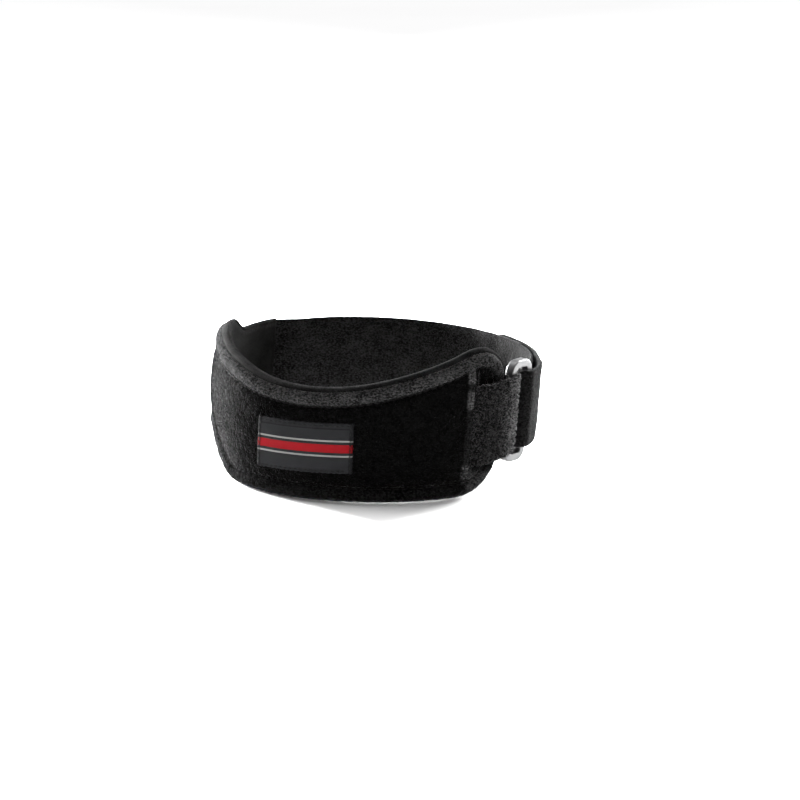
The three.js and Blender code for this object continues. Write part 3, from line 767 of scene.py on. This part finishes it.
def set_gloss(shader, look):
    shader.inputs["Roughness"].default_value = look["roughness"]
    shader.inputs["Specular IOR Level"].default_value = look["specular"]


def bump(tree, height, look, below=None):
    node = add_node(tree, "ShaderNodeBump", Strength=look["strength"], Distance=look["depth"])
    tree.links.new(height, node.inputs["Height"])
    if below is not None:
        tree.links.new(below, node.inputs["Normal"])
    return node.outputs["Normal"]


def scaled(tree, colour, factor):
    node = add_node(tree, "ShaderNodeVectorMath", operation="SCALE")
    tree.links.new(colour, node.inputs[0])
    tree.links.new(factor, node.inputs["Scale"])
    return node.outputs[0]


def with_painted_light(tree, colour, lift):
    """The colour, lighter by the painted highlight held in the mesh's painted_light attribute."""
    painted_light_share = add_node(tree, "ShaderNodeAttribute", attribute_name="painted_light").outputs["Fac"]
    return scaled(tree, colour, math_node(tree, "ADD", math_node(tree, "MULTIPLY", painted_light_share, lift), 1.0))


def pile_cloth(name):
    """Brushed or looped cloth: uneven colour, a soft bloom at grazing angles and a matted surface."""
    material, tree, shader = new_material(name)
    cloth = dict(zip(PILE_COLUMNS, PILE_CLOTHS[name]))
    clump = cloth["clump"]
    tone = mixed_noise(tree, clump, clump * PILE_LOOK["coarse_size"], PILE_LOOK["fine"], PILE_LOOK["upright"])
    colour = dark_to_light(tree, tone, {**PILE_LOOK, **cloth})
    # Painted highlight where the mesh's painted_light attribute is set
    tree.links.new(with_painted_light(tree, colour, cloth["lift"]), shader.inputs["Base Color"])
    set_gloss(shader, PILE_LOOK)
    shader.inputs["Sheen Weight"].default_value = cloth["sheen"]
    shader.inputs["Sheen Roughness"].default_value = cloth["spread"]
    shader.inputs["Sheen Tint"].default_value = PILE_LOOK["tint"]
    surface = None
    for look in (PILE_MATTING, PILE_FLUFF):
        surface = bump(tree, noise(tree, clump * look["size"], upright=look["upright"]), look, surface)
    tree.links.new(surface, shader.inputs["Normal"])
    return material


def knit_cloth(name):
    """Smooth fine knit with slanting wales."""
    material, tree, shader = new_material(name)
    tone = mixed_noise(tree, KNIT["fine_size"], KNIT["coarse_size"], KNIT["fine"])
    colour = dark_to_light(tree, tone, KNIT)
    # Painted highlight along the lining's top edge, from the mesh's attribute
    tree.links.new(with_painted_light(tree, colour, KNIT["lift"]), shader.inputs["Base Color"])
    set_gloss(shader, KNIT)
    shader.inputs["Sheen Weight"].default_value = KNIT["sheen"]
    shader.inputs["Sheen Roughness"].default_value = KNIT["spread"]
    second = threads(tree, KNIT["pitch"] * KNIT["second_pitch"], "X")
    wales = bump(tree, math_node(tree, "ADD", threads(tree, KNIT["pitch"], "DIAGONAL"), second), KNIT)
    tree.links.new(bump(tree, noise(tree, KNIT_FUZZ["size"]), KNIT_FUZZ, wales), shader.inputs["Normal"])
    return material


def label_cloth(name):
    """Woven ribbon in charcoal with one red band between two pale lines, from hem to hem."""
    material, tree, shader = new_material(name)
    flat = add_node(tree, "ShaderNodeSeparateXYZ")
    tree.links.new(coordinates(tree, "UV"), flat.inputs[0])
    up = math_node(tree, "DIVIDE", flat.outputs["Y"], LABEL_HEIGHT)
    colour = ramp(tree, up, [*zip(LABEL_BANDS["from"], LABEL_BANDS["colour"])], "CONSTANT")
    weave = math_node(tree, "MULTIPLY", threads(tree, LABEL_WEAVE["weft"], "Y"),
                      threads(tree, LABEL_WEAVE["warp"], "X"))
    shaded = add_node(tree, "ShaderNodeMixRGB", blend_type="MULTIPLY", Fac=LABEL_WEAVE["shade"])
    tree.links.new(colour, shaded.inputs["Color1"])
    shade = ramp(tree, weave, [(0.0, LABEL_WEAVE["dark"]), (LABEL_WEAVE["light_at"], 1.0)])
    tree.links.new(shade, shaded.inputs["Color2"])
    # Darker over both short ends, and a painted shadow line across the ribbon below its top edge
    from_middle = math_node(tree, "ABSOLUTE", flat.outputs["X"], 0.0)
    at_end = math_node(tree, "GREATER_THAN", from_middle, LABEL_WIDTH / 2 - LABEL_HEM)
    from_shadow_line = math_node(tree, "ABSOLUTE", math_node(tree, "SUBTRACT", up, LABEL_DARK_ENDS_AND_SHADOW_LINE["line"]), 0.0)
    on_shadow_line = math_node(tree, "LESS_THAN", from_shadow_line, LABEL_DARK_ENDS_AND_SHADOW_LINE["half_line"])
    dark_ends_and_shadow_line = math_node(tree, "MULTIPLY", math_node(tree, "MAXIMUM", at_end, on_shadow_line), -LABEL_DARK_ENDS_AND_SHADOW_LINE["darker"])
    darkened = scaled(tree, shaded.outputs["Color"], math_node(tree, "ADD", dark_ends_and_shadow_line, 1.0))
    tree.links.new(darkened, shader.inputs["Base Color"])
    set_gloss(shader, LABEL_WEAVE)
    tree.links.new(bump(tree, weave, LABEL_WEAVE), shader.inputs["Normal"])
    return material


def thread_cloth(name):
    """Thread a little lighter and darker along its twist."""
    material, tree, shader = new_material(name)
    twist = noise(tree, THREAD_LOOK["twist"], THREAD_LOOK["detail"])
    colour = dark_to_light(tree, twist, THREAD_LOOK, THREAD_GREYS[name])
    tree.links.new(colour, shader.inputs["Base Color"])
    set_gloss(shader, THREAD_LOOK)
    tree.links.new(bump(tree, noise(tree, THREAD_LOOK["size"]), THREAD_LOOK), shader.inputs["Normal"])
    return material


def satin_metal(name):
    """Plated steel with a satin finish, fine scratches and slightly duller patches."""
    material, tree, shader = new_material(name)
    tree.links.new(dark_to_light(tree, noise(tree, METAL["patch"]), METAL), shader.inputs["Base Color"])
    shader.inputs["Metallic"].default_value = 1.0
    rough = add_node(tree, "ShaderNodeMapRange")
    rough.inputs["To Min"].default_value = METAL["smooth"]
    rough.inputs["To Max"].default_value = METAL["rough"]
    tree.links.new(noise(tree, METAL["mottle"], METAL["detail"]), rough.inputs["Value"])
    tree.links.new(rough.outputs["Result"], shader.inputs["Roughness"])
    scratches = noise(tree, METAL_SCRATCHES["size"], METAL_SCRATCHES["detail"])
    tree.links.new(bump(tree, scratches, METAL_SCRATCHES), shader.inputs["Normal"])
    return material


# Panel
def plush_panel(material):
    """The panel, on a grid whose rows are closer together at its edges."""
    along, bottom, top = panel_columns(PANEL_COLUMNS)
    share = (1 - np.cos(np.linspace(0, math.pi, PANEL_ROWS))) / 2
    z = bottom[:, None] + (top - bottom)[:, None] * share
    along = np.broadcast_to(along[:, None], z.shape)
    offset = PLUSH_OFFSET + plush_thickness(along, z)
    points = place(along, offset, z)
    faces = grid_faces(PANEL_COLUMNS, PANEL_ROWS)
    starts = range(0, (PANEL_COLUMNS - 1) * PANEL_ROWS, PANEL_ROWS)
    faces += [[a, a + PANEL_ROWS - 1, a + 2 * PANEL_ROWS - 1, a + PANEL_ROWS] for a in starts]
    faces.append(list(range(PANEL_ROWS)))
    uv = np.stack([along, z], -1)
    return turned_outwards(mesh_object("plush_panel", points, faces, material, uv, shade=painted_light(along, z)))


def lining_sheet(material):
    """The lining, with its edges rolled a little outwards as a soft lip; painted highlight along its top
    edge.
    """
    along, bottom, top = panel_columns(PANEL_COLUMNS, LINING_LIP)
    quarter = np.linspace(0, math.pi / 2, LINING_ROUND_STEPS)
    depth = LINING_ROUND * (1 - np.sin(quarter))
    rise = LINING_ROUND * (1 - np.cos(quarter))
    roll = LIP_ROLL_RADIUS * (1 - np.cos(np.linspace(0, math.pi / 2, LIP_STEPS["round"])))
    away = np.concatenate([roll, np.linspace(LIP_ROLL_RADIUS, LIP_ROLL_END, LIP_STEPS["ease"])[1:]])
    bulge = LINING_THICKNESS + LIP_ROLL * (1 - smoothstep(away, LIP_ROLL_RADIUS, LIP_ROLL_END))
    bulge = LINING_ROUND + (bulge - LINING_ROUND) * round_share(away / LIP_ROLL_RADIUS)
    across = np.linspace(0, 1, LINING_ROWS)[1:-1]
    sections = []
    top_painted_highlight = []
    for low, high in zip(bottom, top):
        flat = low + LINING_ROUND + (high - low - 2 * LINING_ROUND) * across
        inner = [*zip(low + rise[::-1], depth[::-1]), *zip(flat, 0 * flat), *zip(high - rise, depth)]
        middle = low + LIP_ROLL_END + (high - low - 2 * LIP_ROLL_END) * across[::LIP_STEPS["middle"]]
        outer = [*zip(high - away, bulge), *zip(middle[::-1], LINING_THICKNESS + 0 * middle),
                 *zip(low + away[::-1], bulge[::-1])]
        sections.append(inner + outer)
        # Painted highlight near the top edge, where light falls from above
        rise_above = np.clip((np.array(inner + outer)[:, 0] - high + LIP_ROLL_END) / LIP_ROLL_END, 0, 1)
        top_painted_highlight.append(smoothstep(rise_above, 0, LIP_LIT))
    sections = np.array(sections)
    z, offset = sections[..., 0], sections[..., 1]
    grown = np.broadcast_to(along[:, None], z.shape)
    points = place(grown, offset, z)
    uv = np.stack([grown, z], -1)
    lip = np.array(top_painted_highlight)
    return turned_outwards(mesh_object("lining_layer", points, tube_faces(*z.shape), material, uv, shade=lip))


def seam_line(inset):
    """Places and normals along the panel's face at an inset from its outline."""
    even = resample(OUTLINE, OUTLINE_STEP)
    forward = unit(np.gradient(even, axis=0))
    inward = np.stack([-forward[:, 1], forward[:, 0]], -1)
    flat = resample(smoothed(even + inset * inward, SMOOTHING["seam"]), OUTLINE_STEP)
    flat = flat[flat[:, 0] > SEWN_LENGTH - PANEL_LEFT]
    return on_face(flat[:, 0], flat[:, 1])


def on_face(along, z, lift=0.0):
    offset = PLUSH_OFFSET + plush_thickness(along, z, fine=False) + lift
    return place(along, offset, z), facing_at(along)


def box_sides(corners, steps):
    """Even steps along each side of a closed box."""
    share = np.linspace(0, 1, steps)
    for (x0, y0), (x1, y1) in zip(corners, corners[1:] + corners[:1]):
        yield x0 + (x1 - x0) * share, y0 + (y1 - y0) * share


def rib_lines():
    """Two rows of stitches up the rib."""
    low = bottom_edge(np.array([RIB_ALONG]))[0] + SEAM_INSET
    high = top_edge(np.array([RIB_ALONG]))[0] - SEAM_INSET
    z = np.linspace(low, high, SEAM_STEPS)
    rows = [np.full(SEAM_STEPS, RIB_ALONG + side * RIB_WIDTH * RIB_STITCH_ROW) for side in (-1, 1)]
    return [on_face(along, z, RIB_STITCH_LIFT) for along in rows]


# Label
def label_points(across, up, lift):
    along = LABEL_ALONG + across * math.cos(LABEL_TILT) - up * math.sin(LABEL_TILT)
    z = across * math.sin(LABEL_TILT) + up * math.cos(LABEL_TILT) - LABEL_DROP
    offset = PLUSH_OFFSET + plush_thickness(along, z, fine=False) + lift
    return place(along, offset, z), along


def label_patch(material):
    """Woven patch with both short ends folded under and its long edges pulled in by the stitches."""
    columns, rows = LABEL_GRID
    share_x = np.linspace(-1, 1, columns)[:, None]
    share_y = np.linspace(-1, 1, rows)[None]
    half_width = LABEL_WIDTH / 2
    half_height = LABEL_HEIGHT / 2
    wave = 2 * math.pi / LABEL_PULL["pitch"]
    across = share_x * (half_width + LABEL_PULL["short_edges"] * np.cos(wave * share_y * half_height))
    up = share_y * (half_height + LABEL_PULL["long_edges"] * np.cos(wave * share_x * half_width))
    from_end = half_width * (1 - np.abs(share_x))
    edge = np.minimum(from_end, half_height * (1 - np.abs(share_y)))
    hem = LABEL_HEM_RISE * (1 - smoothstep(from_end, LABEL_HEM * LABEL_HEM_START, LABEL_HEM))
    stitch = LABEL_SEAM["depth"] * np.exp(-((edge - LABEL_SEAM["inset"]) / LABEL_SEAM["width"]) ** 2)
    waves = relief(np.stack([across, up], -1), LABEL_WAVES)
    lift = (LABEL_THICKNESS - LABEL_SUNK + hem - stitch + waves) * round_share(edge / LABEL_ROUND)
    front, _ = label_points(across, up, lift)
    back, _ = label_points(across, up, -LABEL_BACK)
    points = np.concatenate([front.reshape(-1, 3), back.reshape(-1, 3)])
    size = columns * rows
    faces = grid_faces(columns, rows)
    faces += [[v + size for v in face[::-1]] for face in grid_faces(columns, rows)]
    border = [*range(rows), *range(2 * rows - 1, size, rows),
              *range(size - 2, size - rows - 1, -1), *range(size - 2 * rows, 0, -rows)]
    faces += [[a, b, b + size, a + size] for a, b in zip(border, border[1:] + border[:1])]
    uv = np.stack([across, up + LABEL_HEIGHT / 2], -1)
    return turned_outwards(mesh_object("woven_label", points, faces, material, np.concatenate([uv, uv])))


def label_stitch_lines():
    """One row of stitches inside each edge of the label."""
    x = LABEL_WIDTH / 2 - LABEL_SEAM["inset"]
    y = LABEL_HEIGHT / 2 - LABEL_SEAM["inset"]
    lift = LABEL_THICKNESS - LABEL_SEAM["thread_depth"]
    lines = []
    for across, up in box_sides([(-x, -y), (x, -y), (x, y), (-x, y)], LABEL_SEAM_STEPS):
        at, along = label_points(across, up, lift)
        lines.append((at, facing_at(along)))
    return lines


# Ring
def ring_frame():
    turn = float(turn_at(RING_ALONG)) + RING_TILT
    return plan_at(RING_ALONG, RING_OFFSET), outward(turn), onward(turn)


def round_bar(bar, distance, start, end, steps):
    """Points in plan round a ring bar, -1 the near one and 1 the far one, from angle to angle."""
    middle, out, on = ring_frame()
    angle = np.linspace(start, end, steps + 1)[:, None]
    centre = middle + on * bar * BAR_SPACING / 2
    across = (RING_BAR / 2 + distance) * np.cos(angle)
    return centre + on * across + out * (RING_THICKNESS / 2 + distance) * np.sin(angle)


def rounded_path(width, height, radius, steps):
    """Places and outward directions round a rectangle with round corners."""
    at, facing = [], []
    for k, (x, y) in enumerate([(1, 1), (-1, 1), (-1, -1), (1, -1)]):
        for angle in np.linspace(k, k + 1, steps["corner"] + 1) * math.pi / 2:
            out = np.array([math.cos(angle), math.sin(angle)])
            at.append(np.array([x * (width / 2 - radius), y * (height / 2 - radius)]) + radius * out)
            facing.append(out)
    at, facing = np.array(at), np.array(facing)
    closed_at = np.vstack([at, at[:1]])
    closed_facing = np.vstack([facing, facing[:1]])
    places, ways = [], []
    for i in range(len(at)):
        long_side = np.linalg.norm(closed_at[i + 1] - closed_at[i]) > radius
        shares = np.linspace(0, 1, steps["side"], endpoint=False) if long_side else [0.0]
        for share in shares:
            places.append(closed_at[i] + share * (closed_at[i + 1] - closed_at[i]))
            ways.append(closed_facing[i] + share * (closed_facing[i + 1] - closed_facing[i]))
    return np.array(places), unit(np.array(ways))


def metal_ring(material):
    """Flat bar bent into a rectangle with round corners, its edges rounded."""
    middle = RING_BAR / 2
    at, facing = rounded_path(RING_WIDTH - RING_BAR, RING_HEIGHT - RING_BAR, RING_CORNER - middle, RING_STEPS)
    section, _ = rounded_path(RING_BAR, RING_THICKNESS, RING_EDGE_ROUND, BAR_SECTION_STEPS)
    plan, _, on = ring_frame()
    upright = unit(np.array([LEAN * math.cos(LEAN_TURN), LEAN * math.sin(LEAN_TURN), 1.0]))
    across = np.append(on, 0.0)
    face = unit(np.cross(across, upright))
    level = np.cross(upright, face)
    centre = np.append(plan, 0.0)
    flat = at[:, None] + facing[:, None] * section[None, :, :1]
    points = centre + flat[..., :1] * level + flat[..., 1:] * upright + section[None, :, 1:] * face
    rows, columns = points.shape[:2]
    faces = grid_faces(rows, columns, wrap=True)
    start = (rows - 1) * columns
    faces += [[start + j, start + (j + 1) % columns, (j + 1) % columns, j] for j in range(columns)]
    return turned_outwards(mesh_object("metal_ring", points, faces, material))


# Straps that follow a route in plan
def tape_section(half_height, thickness, steps, edge):
    """Flat section with soft round edges, as across and height."""
    half = thickness / 2
    arc = np.linspace(-math.pi / 2, math.pi / 2, TAPE_ROUND_STEPS)
    end = np.stack([half * np.sin(arc), half_height - edge + edge * np.cos(arc)], -1)
    rise = np.linspace(-half_height + edge, half_height - edge, steps)[1:-1]
    inner = np.stack([np.full(steps - 2, -half), rise], -1)
    outer = np.stack([np.full(steps - 2, half), rise[::-1]], -1)
    return np.vstack([inner, end, outer, -end])


def tape_points(route, heights, section, lumps, slope=None):
    """Points of a strap with that section along a route in plan, its two faces a little uneven."""
    forward = unit(np.gradient(route, axis=0))
    side = np.stack([forward[:, 1], -forward[:, 0]], -1)
    half_height = section[:, 1].max()
    z = section[None, :, 1] * (heights / half_height)[:, None]
    across = np.broadcast_to(section[None, :, 0], z.shape)
    run = run_along(route)
    flat = np.stack([np.broadcast_to(run[:, None], z.shape), z + across * FACES_APART], -1)
    across = across + np.sign(across) * relief(flat, lumps)
    plan = route[:, None] + across[..., None] * side[:, None]
    uv = np.stack([flat[..., 0], z], -1)
    if slope is not None:
        z = z - slope(plan)
    return lift_to(plan, z), uv


def ease_route(start, end, from_offset, to_offset):
    """Plan points where a strap comes down from one offset to another."""
    share = np.linspace(0, 1, EASE_STEPS)
    along = start + (end - start) * share
    return plan_at(along, from_offset + (to_offset - from_offset) * smoothstep(share, 0, 1))


def level_route(start, end, offset):
    count = max(int(abs(end - start) / TAPE_STEP), 2)
    return plan_at(np.linspace(start, end, count), offset)


def strap_route():
    """From the sewn end round the back, through the ring from inside, over its far bar and back on itself."""
    sewn_offset = PLUSH_OFFSET + SEWN_THICKNESS + CLEARANCE + STRAP_THICKNESS / 2
    flat_offset = STRAP_THICKNESS / 2
    stacked_offset = flat_offset + STRAP_THICKNESS + CLEARANCE
    bar_distance = FOLD_CLEARANCE + STRAP_THICKNESS / 2
    over_bar_offset = STRAP_THICKNESS + CLEARANCE + RING_THICKNESS + bar_distance
    step_start = -PANEL_LEFT - LINING_LIP
    ramp_end = -PANEL_LEFT - STRAP_RAMP
    parts = [
        level_route(SEWN_LENGTH - PANEL_LEFT, step_start, sewn_offset),
        ease_route(step_start, ramp_end, sewn_offset, flat_offset),
        level_route(ramp_end, FAR_BAR_ALONG + RING_BAR, flat_offset),
        round_bar(1, bar_distance, INWARDS, OUTWARDS, BAR_STEPS["strap"]),
        ease_route(FAR_BAR_ALONG, FAR_BAR_ALONG + FOLD_RAMP, over_bar_offset, stacked_offset),
        level_route(FAR_BAR_ALONG + FOLD_RAMP, FAR_BAR_ALONG + OVERLAP_LENGTH, stacked_offset),
    ]
    return smoothed(resample(np.vstack(parts), TAPE_STEP), SMOOTHING["strap"])


def strap_heights(route):
    """Half height along the strap, with the corners of its free end rounded."""
    run = run_along(route)
    return STRAP_WIDTH / 2 - STRAP_END_RADIUS * (1 - round_share((run[-1] - run) / STRAP_END_RADIUS))


def closing_strap(material):
    route = strap_route()
    section = tape_section(STRAP_WIDTH / 2, STRAP_THICKNESS, STRAP_ROWS, STRAP_EDGE)
    points, uv = tape_points(route, strap_heights(route), section, STRAP_LUMPS)
    faces = tube_faces(*points.shape[:2])
    return turned_outwards(mesh_object("closing_strap", points, faces, material, uv))


def tab_route():
    """From the rib over the wing, round the near bar and back under itself to the rib."""
    start = RIB_ALONG + TAB_TUCK
    crown = PLUSH_OFFSET + RIM_THICKNESS * PLUSH_PROFILE["thickness"][-1] + CLEARANCE
    rim = PLUSH_OFFSET + RIM_THICKNESS + CLEARANCE
    share = np.linspace(0, 1, BAR_STEPS["tab"])
    along = start + (PANEL_RIGHT - start) * share
    offset = crown + (rim - crown) * share
    pressed = TAB_PRESS * (1 - smoothstep(along, start, start + TAB_PRESS_LENGTH))
    offset = offset - pressed
    outer = plan_at(along, offset + 1.5 * TAB_THICKNESS + CLEARANCE)
    inner = plan_at(along, offset + TAB_THICKNESS / 2)[::-1]
    fold = round_bar(-1, FOLD_CLEARANCE + TAB_THICKNESS / 2, OUTWARDS, OUTWARDS - TAB_WRAP,
                     BAR_STEPS["tab"])
    return smoothed(resample(np.vstack([outer, fold, inner]), TAB_STEP), SMOOTHING["tab"])


def tab_drop(plan):
    middle, _, _ = ring_frame()
    return TAB_SLOPE * (np.linalg.norm(plan - middle, axis=-1) - BAR_SPACING / 2)


def loop_tab(material):
    route = tab_route()
    section = tape_section(STRAP_WIDTH / 2, TAB_THICKNESS, TAB_ROWS, TAB_EDGE)
    heights = np.full(len(route), STRAP_WIDTH / 2)
    points, uv = tape_points(route, heights, section, TAB_LUMPS, tab_drop)
    return turned_outwards(mesh_object("loop_tab", points, tube_faces(*points.shape[:2]), material, uv))


def strap_stitch_lines():
    """A box of stitches where the strap is sewn to the panel, and one on its free end."""
    edge = STRAP_WIDTH / 2 - STRAP_SEAM_INSET
    sewn_offset = PLUSH_OFFSET + SEWN_THICKNESS + CLEARANCE + STRAP_THICKNESS
    sewn = (SEWN_LENGTH - PANEL_LEFT - SEWN_BOX["start"], -PANEL_LEFT + SEWN_BOX["end"])
    stacked_offset = 2 * STRAP_THICKNESS + CLEARANCE
    tip = FAR_BAR_ALONG + OVERLAP_LENGTH - LOOSE_BOX["start"]
    loose = (tip, tip - LOOSE_BOX["length"])
    lines = []
    for (start, end), offset in ((sewn, sewn_offset), (loose, stacked_offset)):
        corners = [(start, -edge), (start, edge), (end, edge), (end, -edge)]
        lines += [(place(along, offset, z), facing_at(along)) for along, z in box_sides(corners, SEAM_STEPS)]
    return lines


# Where fibres and loops grow: mostly on faces that look away from the leg
def on_outside(middle, normal, uv):
    away = unit(middle * [1, 1, 0])
    return np.clip((normal * away).sum(-1), LEAST_OUTSIDE, 1)


def on_bare_plush(middle, normal, uv):
    """Off the back of the panel, and off what the label and the tab cover."""
    away = unit(middle * [1, 1, 0])
    along, z = uv[:, 0], uv[:, 1]
    label = (np.abs(along - LABEL_ALONG) < LABEL_WIDTH / 2) & (np.abs(z + LABEL_DROP) < LABEL_HEIGHT / 2)
    tab = (along > RIB_ALONG + TAB_TUCK) & (np.abs(z) < STRAP_WIDTH / 2 - TAB_MARGIN)
    sewn = (along < SEWN_LENGTH - PANEL_LEFT) & (np.abs(z) < STRAP_WIDTH / 2)
    return np.where((normal * away).sum(-1) > BACK_FACING, 1.0, 0.0) * ~(label | tab | sewn)


def pieces():
    """Every piece of the strap, riding on the one body."""
    panel = plush_panel(pile_cloth("plush"))
    rng = np.random.default_rng(PLUSH_FIBRES["seed"])
    at, facing, uv = scattered(panel, PLUSH_FIBRES["count"], rng, on_bare_plush)
    # Painted highlight on the fibres, as on the plush beneath them
    painted_light_share = painted_light(uv[:, 0], uv[:, 1])
    panel_pile = fibre_mesh("panel_pile", at, facing, PLUSH_FIBRES, rng, pile_cloth("plush_pile"), painted_light_share)
    layer = lining_sheet(knit_cloth("lining_knit"))
    dark_thread = thread_cloth("dark_thread")
    seams = stitch_mesh("panel_seam", [seam_line(SEAM_INSET)], dark_thread)
    rib_seams = stitch_mesh("rib_seams", rib_lines(), dark_thread, RIB_STITCHES)
    label = label_patch(label_cloth("label_ribbon"))
    label_thread = thread_cloth("label_thread")
    label_seams = stitch_mesh("label_seams", label_stitch_lines(), label_thread, LABEL_STITCHES)
    ring = metal_ring(satin_metal("satin_nickel"))
    tab = loop_tab(pile_cloth("loop_tape"))
    rng = np.random.default_rng(TAB_LOOPS["seed"])
    at, facing, uv = scattered(tab, TAB_LOOPS["count"], rng, on_outside)
    # Painted highlight on the loops, growing towards the fold round the near bar
    fold_painted_highlight = smoothstep(uv[:, 0], TAB_FOLD_LIGHT_START, TAB_FOLD_LIGHT_FULL)
    tab_loops = loop_mesh("tab_loops", at, facing, TAB_LOOPS, rng, pile_cloth("loop_thread"), fold_painted_highlight)
    strap = closing_strap(pile_cloth("strap_cloth"))
    rng = np.random.default_rng(STRAP_FIBRES["seed"])
    at, facing, _ = scattered(strap, STRAP_FIBRES["count"], rng, on_outside)
    strap_pile = fibre_mesh("strap_nap", at, facing, STRAP_FIBRES, rng, pile_cloth("strap_nap"))
    strap_seams = stitch_mesh("strap_seams", strap_stitch_lines(), thread_cloth("strap_thread"))

    slots = {panel: "plush", panel_pile: "plush", seams: "plush", rib_seams: "plush", layer: "lining",
             label: "label", label_seams: "label", ring: "ring_metal", tab: "loop_tape",
             tab_loops: "loop_tape", strap: "strap", strap_pile: "strap", strap_seams: "strap"}
    for piece, slot in slots.items():
        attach(piece, "root")
    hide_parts("front_pad")
    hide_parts("lining")
    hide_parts("label")
    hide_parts("ring")
    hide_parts("ring_tab")
    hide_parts("closure_strap")


# Stage, light and camera
def sight_line(turn, tilt):
    """From the origin towards a camera or light."""
    return Vector((math.sin(turn) * math.cos(tilt), -math.cos(turn) * math.cos(tilt), math.sin(tilt)))


def set_camera():
    """The photograph's view, aimed so that the origin falls on its pixel."""
    back = sight_line(CAMERA_AZIMUTH, CAMERA_ELEVATION)
    right = Vector((math.cos(CAMERA_AZIMUTH), math.sin(CAMERA_AZIMUTH), 0))
    up = back.cross(right)
    focal_pixels = (CAMERA_DISTANCE - NEAR_PLANE) / NEAR_PLANE_PIXEL
    pixel = CAMERA_DISTANCE / focal_pixels
    centre = FRAME_PIXELS / 2
    target = right * (centre - ORIGIN_PIXEL[0]) * pixel - up * (centre - ORIGIN_PIXEL[1]) * pixel
    data = bpy.data.cameras.new("camera")
    data.sensor_width = SENSOR_WIDTH
    data.lens = focal_pixels * SENSOR_WIDTH / FRAME_PIXELS
    data.clip_start, data.clip_end = CAMERA_RANGE
    camera = bpy.data.objects.new("camera", data)
    camera.location = back * CAMERA_DISTANCE
    camera.rotation_mode = "QUATERNION"
    camera.rotation_quaternion = (target - camera.location).to_track_quat("-Z", "Y")
    bpy.context.scene.collection.objects.link(camera)
    bpy.context.scene.camera = camera


def floor_material():
    material, tree, shader = new_material("pale_floor")
    tree.links.new(dark_to_light(tree, noise(tree, FLOOR["patch"]), FLOOR), shader.inputs["Base Color"])
    shader.inputs["Roughness"].default_value = FLOOR["roughness"]
    return material


def set_stage():
    """A plain pale floor just under the panel's lowest edge."""
    reach = FLOOR["reach"]
    z = -PANEL_DROP - FLOOR["drop"]
    points = np.array([[-reach, -reach, z], [reach, -reach, z], [reach, reach, z], [-reach, reach, z]])
    floor = mesh_object("floor", points, [[0, 1, 2, 3]], floor_material(), smooth=False)


def aimed_light(data, look):
    """Puts a light where it looks at the origin."""
    away = sight_line(CAMERA_AZIMUTH + math.radians(look["azimuth"]), math.radians(look["elevation"]))
    light = bpy.data.objects.new(data.name, data)
    light.location = away * look["distance"]
    light.rotation_mode = "QUATERNION"
    light.rotation_quaternion = away.to_track_quat("Z", "Y")
    bpy.context.scene.collection.objects.link(light)


def area_light(name, look):
    data = bpy.data.lights.new(name, "AREA")
    data.shape = "SQUARE"
    data.size = look["size"]
    data.energy = look["power"]
    aimed_light(data, look)


def soft_sun(name, look):
    data = bpy.data.lights.new(name, "SUN")
    data.angle = math.radians(look["spread"])
    data.energy = look["strength"]
    aimed_light(data, look)


def set_light():
    world = bpy.data.worlds.new("studio")
    world.use_nodes = True
    sky = world.node_tree.nodes["Background"]
    sky.inputs["Color"].default_value = (1, 1, 1, 1)
    sky.inputs["Strength"].default_value = WORLD_STRENGTH
    bpy.context.scene.world = world
    bpy.context.scene.view_settings.view_transform = "Standard"
    area_light("left_side", LEFT_SIDE)
    area_light("right_side", RIGHT_SIDE)
    soft_sun("overhead", OVERHEAD)


set_camera()
set_stage()
set_light()
pieces()
